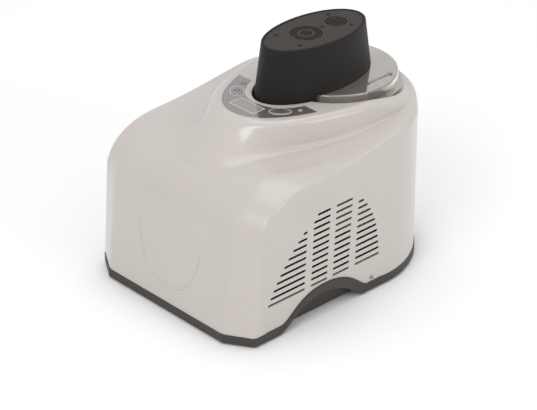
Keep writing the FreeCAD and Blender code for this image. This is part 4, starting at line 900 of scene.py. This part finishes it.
def build_key_icons():
    """Power sign on one key, a clock with two hands on the other."""
    top = TOWER_TOP + 1.0
    x, d, turn = KEYS["start_button"]
    t = math.radians(turn - 90)
    bm = bmesh.new()
    strip(bm, oval_points(x, d, 3.6, 3.6, turn - 90, 125, 415, 26), 1.1, top, closed=False)
    ends = [(x - math.sin(t) * r, d + math.cos(t) * r) for r in (0.6, 4.6)]
    strip(bm, ends, 1.2, top, closed=False)
    finish_piece(from_bmesh("start_icon", bm), "start_key", PRINT_DARK)
    x, d, turn = KEYS["timer_button"]
    bm = bmesh.new()
    strip(bm, oval_points(x, d, 4.0, 4.0, 0), 0.8, top)
    strip(bm, [(x, d), (x, d + 3.0)], 0.9, top, closed=False)
    strip(bm, [(x, d), (x + 2.2, d - 1.0)], 0.9, top, closed=False)
    finish_piece(from_bmesh("timer_icon", bm), "timer_key", PRINT_DARK)


# ---- motor unit's top plate ----------------------------------------------------
GRILLES = [(245.4, 21.5, 3), (298.1, 16.5, 0)]     # middle, radius, ring left closed
GRILLE_STEP, GRILLE_HOLE_R = 3.3, 1.48
TOP_SCREWS = [(-21, 213.7), (21, 213.7), (0, 273.7), (-21, 305), (21, 305)]
PLATE_T = 1.0
SCREW_HOLE_R = 3.4


def grille_holes(middle, radius, closed_ring):
    """Centres of the round holes, set out in rings."""
    centres = [(0.0, middle)]
    for ring in range(1, int((radius - GRILLE_HOLE_R) / GRILLE_STEP) + 1):
        if ring == closed_ring:
            continue
        r = ring * GRILLE_STEP
        count = int(2 * math.pi * r / GRILLE_STEP)
        for i in range(count):
            a = 2 * math.pi * (i + 0.5 * (ring % 2)) / count
            centres.append((r * math.cos(a), middle + r * math.sin(a)))
    return centres


def build_top_plate():
    """Thin recessed plate with two round grilles and five screw holes."""
    top = (PLATE_HIGH.z - FLOOR_GAP) / MM
    a, b = (PLATE_HIGH.x - PLATE_LOW.x) / 2 / MM, (PLATE_HIGH.y - PLATE_LOW.y) / 2 / MM
    bm = bmesh.new()
    extrude_outline(bm, ellipse(0, MOTOR_D, top - PLATE_T, a, b, 0, 128), Vector((0, 0, PLATE_T * MM)))
    plate = from_bmesh("motor_top_plate", bm)
    bm = bmesh.new()
    up = Vector((0, 0, 6 * MM))
    for grille in GRILLES:
        for x, d in grille_holes(*grille):
            extrude_outline(bm, ellipse(x, d, top - 3, GRILLE_HOLE_R, GRILLE_HOLE_R, 0, 12), up)
    for x, d in TOP_SCREWS:
        extrude_outline(bm, ellipse(x, d, top - 3, SCREW_HOLE_R, SCREW_HOLE_R, 0, 24), up)
    cut(plate, from_bmesh("plate_cutters", bm))
    bevel = plate.modifiers.new("edges", "BEVEL")
    bevel.width = 0.12 * MM
    bevel.segments = 1
    bevel.limit_method = "ANGLE"
    finish_piece(plate, "motor_unit", MATERIALS["motor_grey"], ["top_plate"])
    weight_normals(plate)


# ---- carried-over nodes -----------------------------------------------------------
def paint_nodes():
    """Every CAD node that still shows takes its slot's finish."""
    slots = {part["node"]: part["material_slot"] for part in frame["record"]["subparts"]}
    for name, obj in frame["nodes"].items():
        if obj.hide_render:
            continue
        for entry in obj.material_slots:
            entry.link = "OBJECT"
            entry.material = BLACKENED if name == "top_plate_screws" else MATERIALS[slots[name]]


def build_refined_nodes():
    """Nodes whose CAD shape is right and only needs its edges rounded."""
    refined("base_tray", "base_band", "housing", "dark_base", 0.8)
    refined("control_overlay", "panel_film", "housing", "panel_grey", 0.15, 1)
    refined("motor_cover", "motor_cover_skin", "motor_unit", "motor_black", 0.6)
    refined("lid", "lid_clear", "lid_body", "clear_lid", 0.4)
    refined("lid_flap", "lid_flap_clear", "flap", "clear_lid", 0.3)
    refined("power_inlet", "inlet_housing", "housing", "black_plastic", 0.4)
    refined("motor_base", "motor_chassis", "motor_unit", "black_plastic", 0.4)
    refined("paddle", "paddle_moulding", "paddle_body", "paddle_white", 0.5)


# ---- studio -----------------------------------------------------------------
def build_floor():
    finish = Finish("floor_paper")
    tone = finish.remap(finish.noise(1.5, 2.0), 0.0, 1.0)
    finish.set(Base_Color=finish.blend(tone, (0.93, 0.93, 0.925, 1), (0.95, 0.95, 0.945, 1)))
    finish.set(Roughness=finish.remap(finish.noise(400.0), 0.85, 0.95))
    bm = bmesh.new()
    bmesh.ops.create_grid(bm, x_segments=8, y_segments=8, size=7.0)
    floor = from_bmesh("floor", bm)
    floor.data.materials.append(finish.material)


def area_light(name, position, target, size, power, colour=(1, 1, 1)):
    data = bpy.data.lights.new(name, "AREA")
    data.shape = "RECTANGLE"
    data.size, data.size_y = size
    data.energy = power
    data.color = colour
    light = bpy.data.objects.new(name, data)
    bpy.context.scene.collection.objects.link(light)
    light.location = position
    aim = Vector(target) - Vector(position)
    light.rotation_euler = aim.to_track_quat("-Z", "Y").to_euler()


def build_lights():
    world = bpy.data.worlds.new("studio")
    world.use_nodes = True
    bpy.context.scene.world = world
    background = world.node_tree.nodes["Background"]
    background.inputs["Color"].default_value = (0.98, 0.985, 1.0, 1.0)
    background.inputs["Strength"].default_value = 0.8
    area_light("key", (0.9, -2.4, 2.6), (0, 0, 0.15), (1.6, 1.2), 26)
    area_light("side", (2.8, 0.4, 1.2), (0, 0, 0.15), (0.9, 1.4), 11)
    area_light("top", (-0.4, 0.5, 3.0), (0, 0, 0.2), (2.0, 2.0), 17)


CAMERA_AT = (1.9254, -1.8139, 1.5608)
CAMERA_LENS, CAMERA_SENSOR = 155.98, 36.0
CAMERA_TURN, CAMERA_TILT = 46.96, 29.27       # degrees round from the front, and down


def build_camera():
    data = bpy.data.cameras.new("camera")
    data.sensor_width = CAMERA_SENSOR
    data.lens = CAMERA_LENS
    data.clip_end = 40.0
    camera = bpy.data.objects.new("camera", data)
    bpy.context.scene.collection.objects.link(camera)
    azimuth, elevation = math.radians(CAMERA_TURN), math.radians(CAMERA_TILT)
    forward = Vector((-math.sin(azimuth) * math.cos(elevation),
                      math.cos(azimuth) * math.cos(elevation), -math.sin(elevation)))
    right = Vector((math.cos(azimuth), math.sin(azimuth), 0.0))
    up = Vector((-math.sin(azimuth) * math.sin(elevation),
                 math.cos(azimuth) * math.sin(elevation), math.cos(elevation)))
    turned = Matrix((right, up, -forward)).transposed().to_4x4()
    camera.matrix_world = Matrix.Translation(CAMERA_AT) @ turned
    bpy.context.scene.camera = camera


bpy.context.scene.view_settings.view_transform = "Standard"
build_camera()
build_lights()
build_floor()
build_housing()
build_front_relief()
build_side_screws()
build_refined_nodes()
build_panel_print()
build_key_icons()
build_top_plate()
paint_nodes()
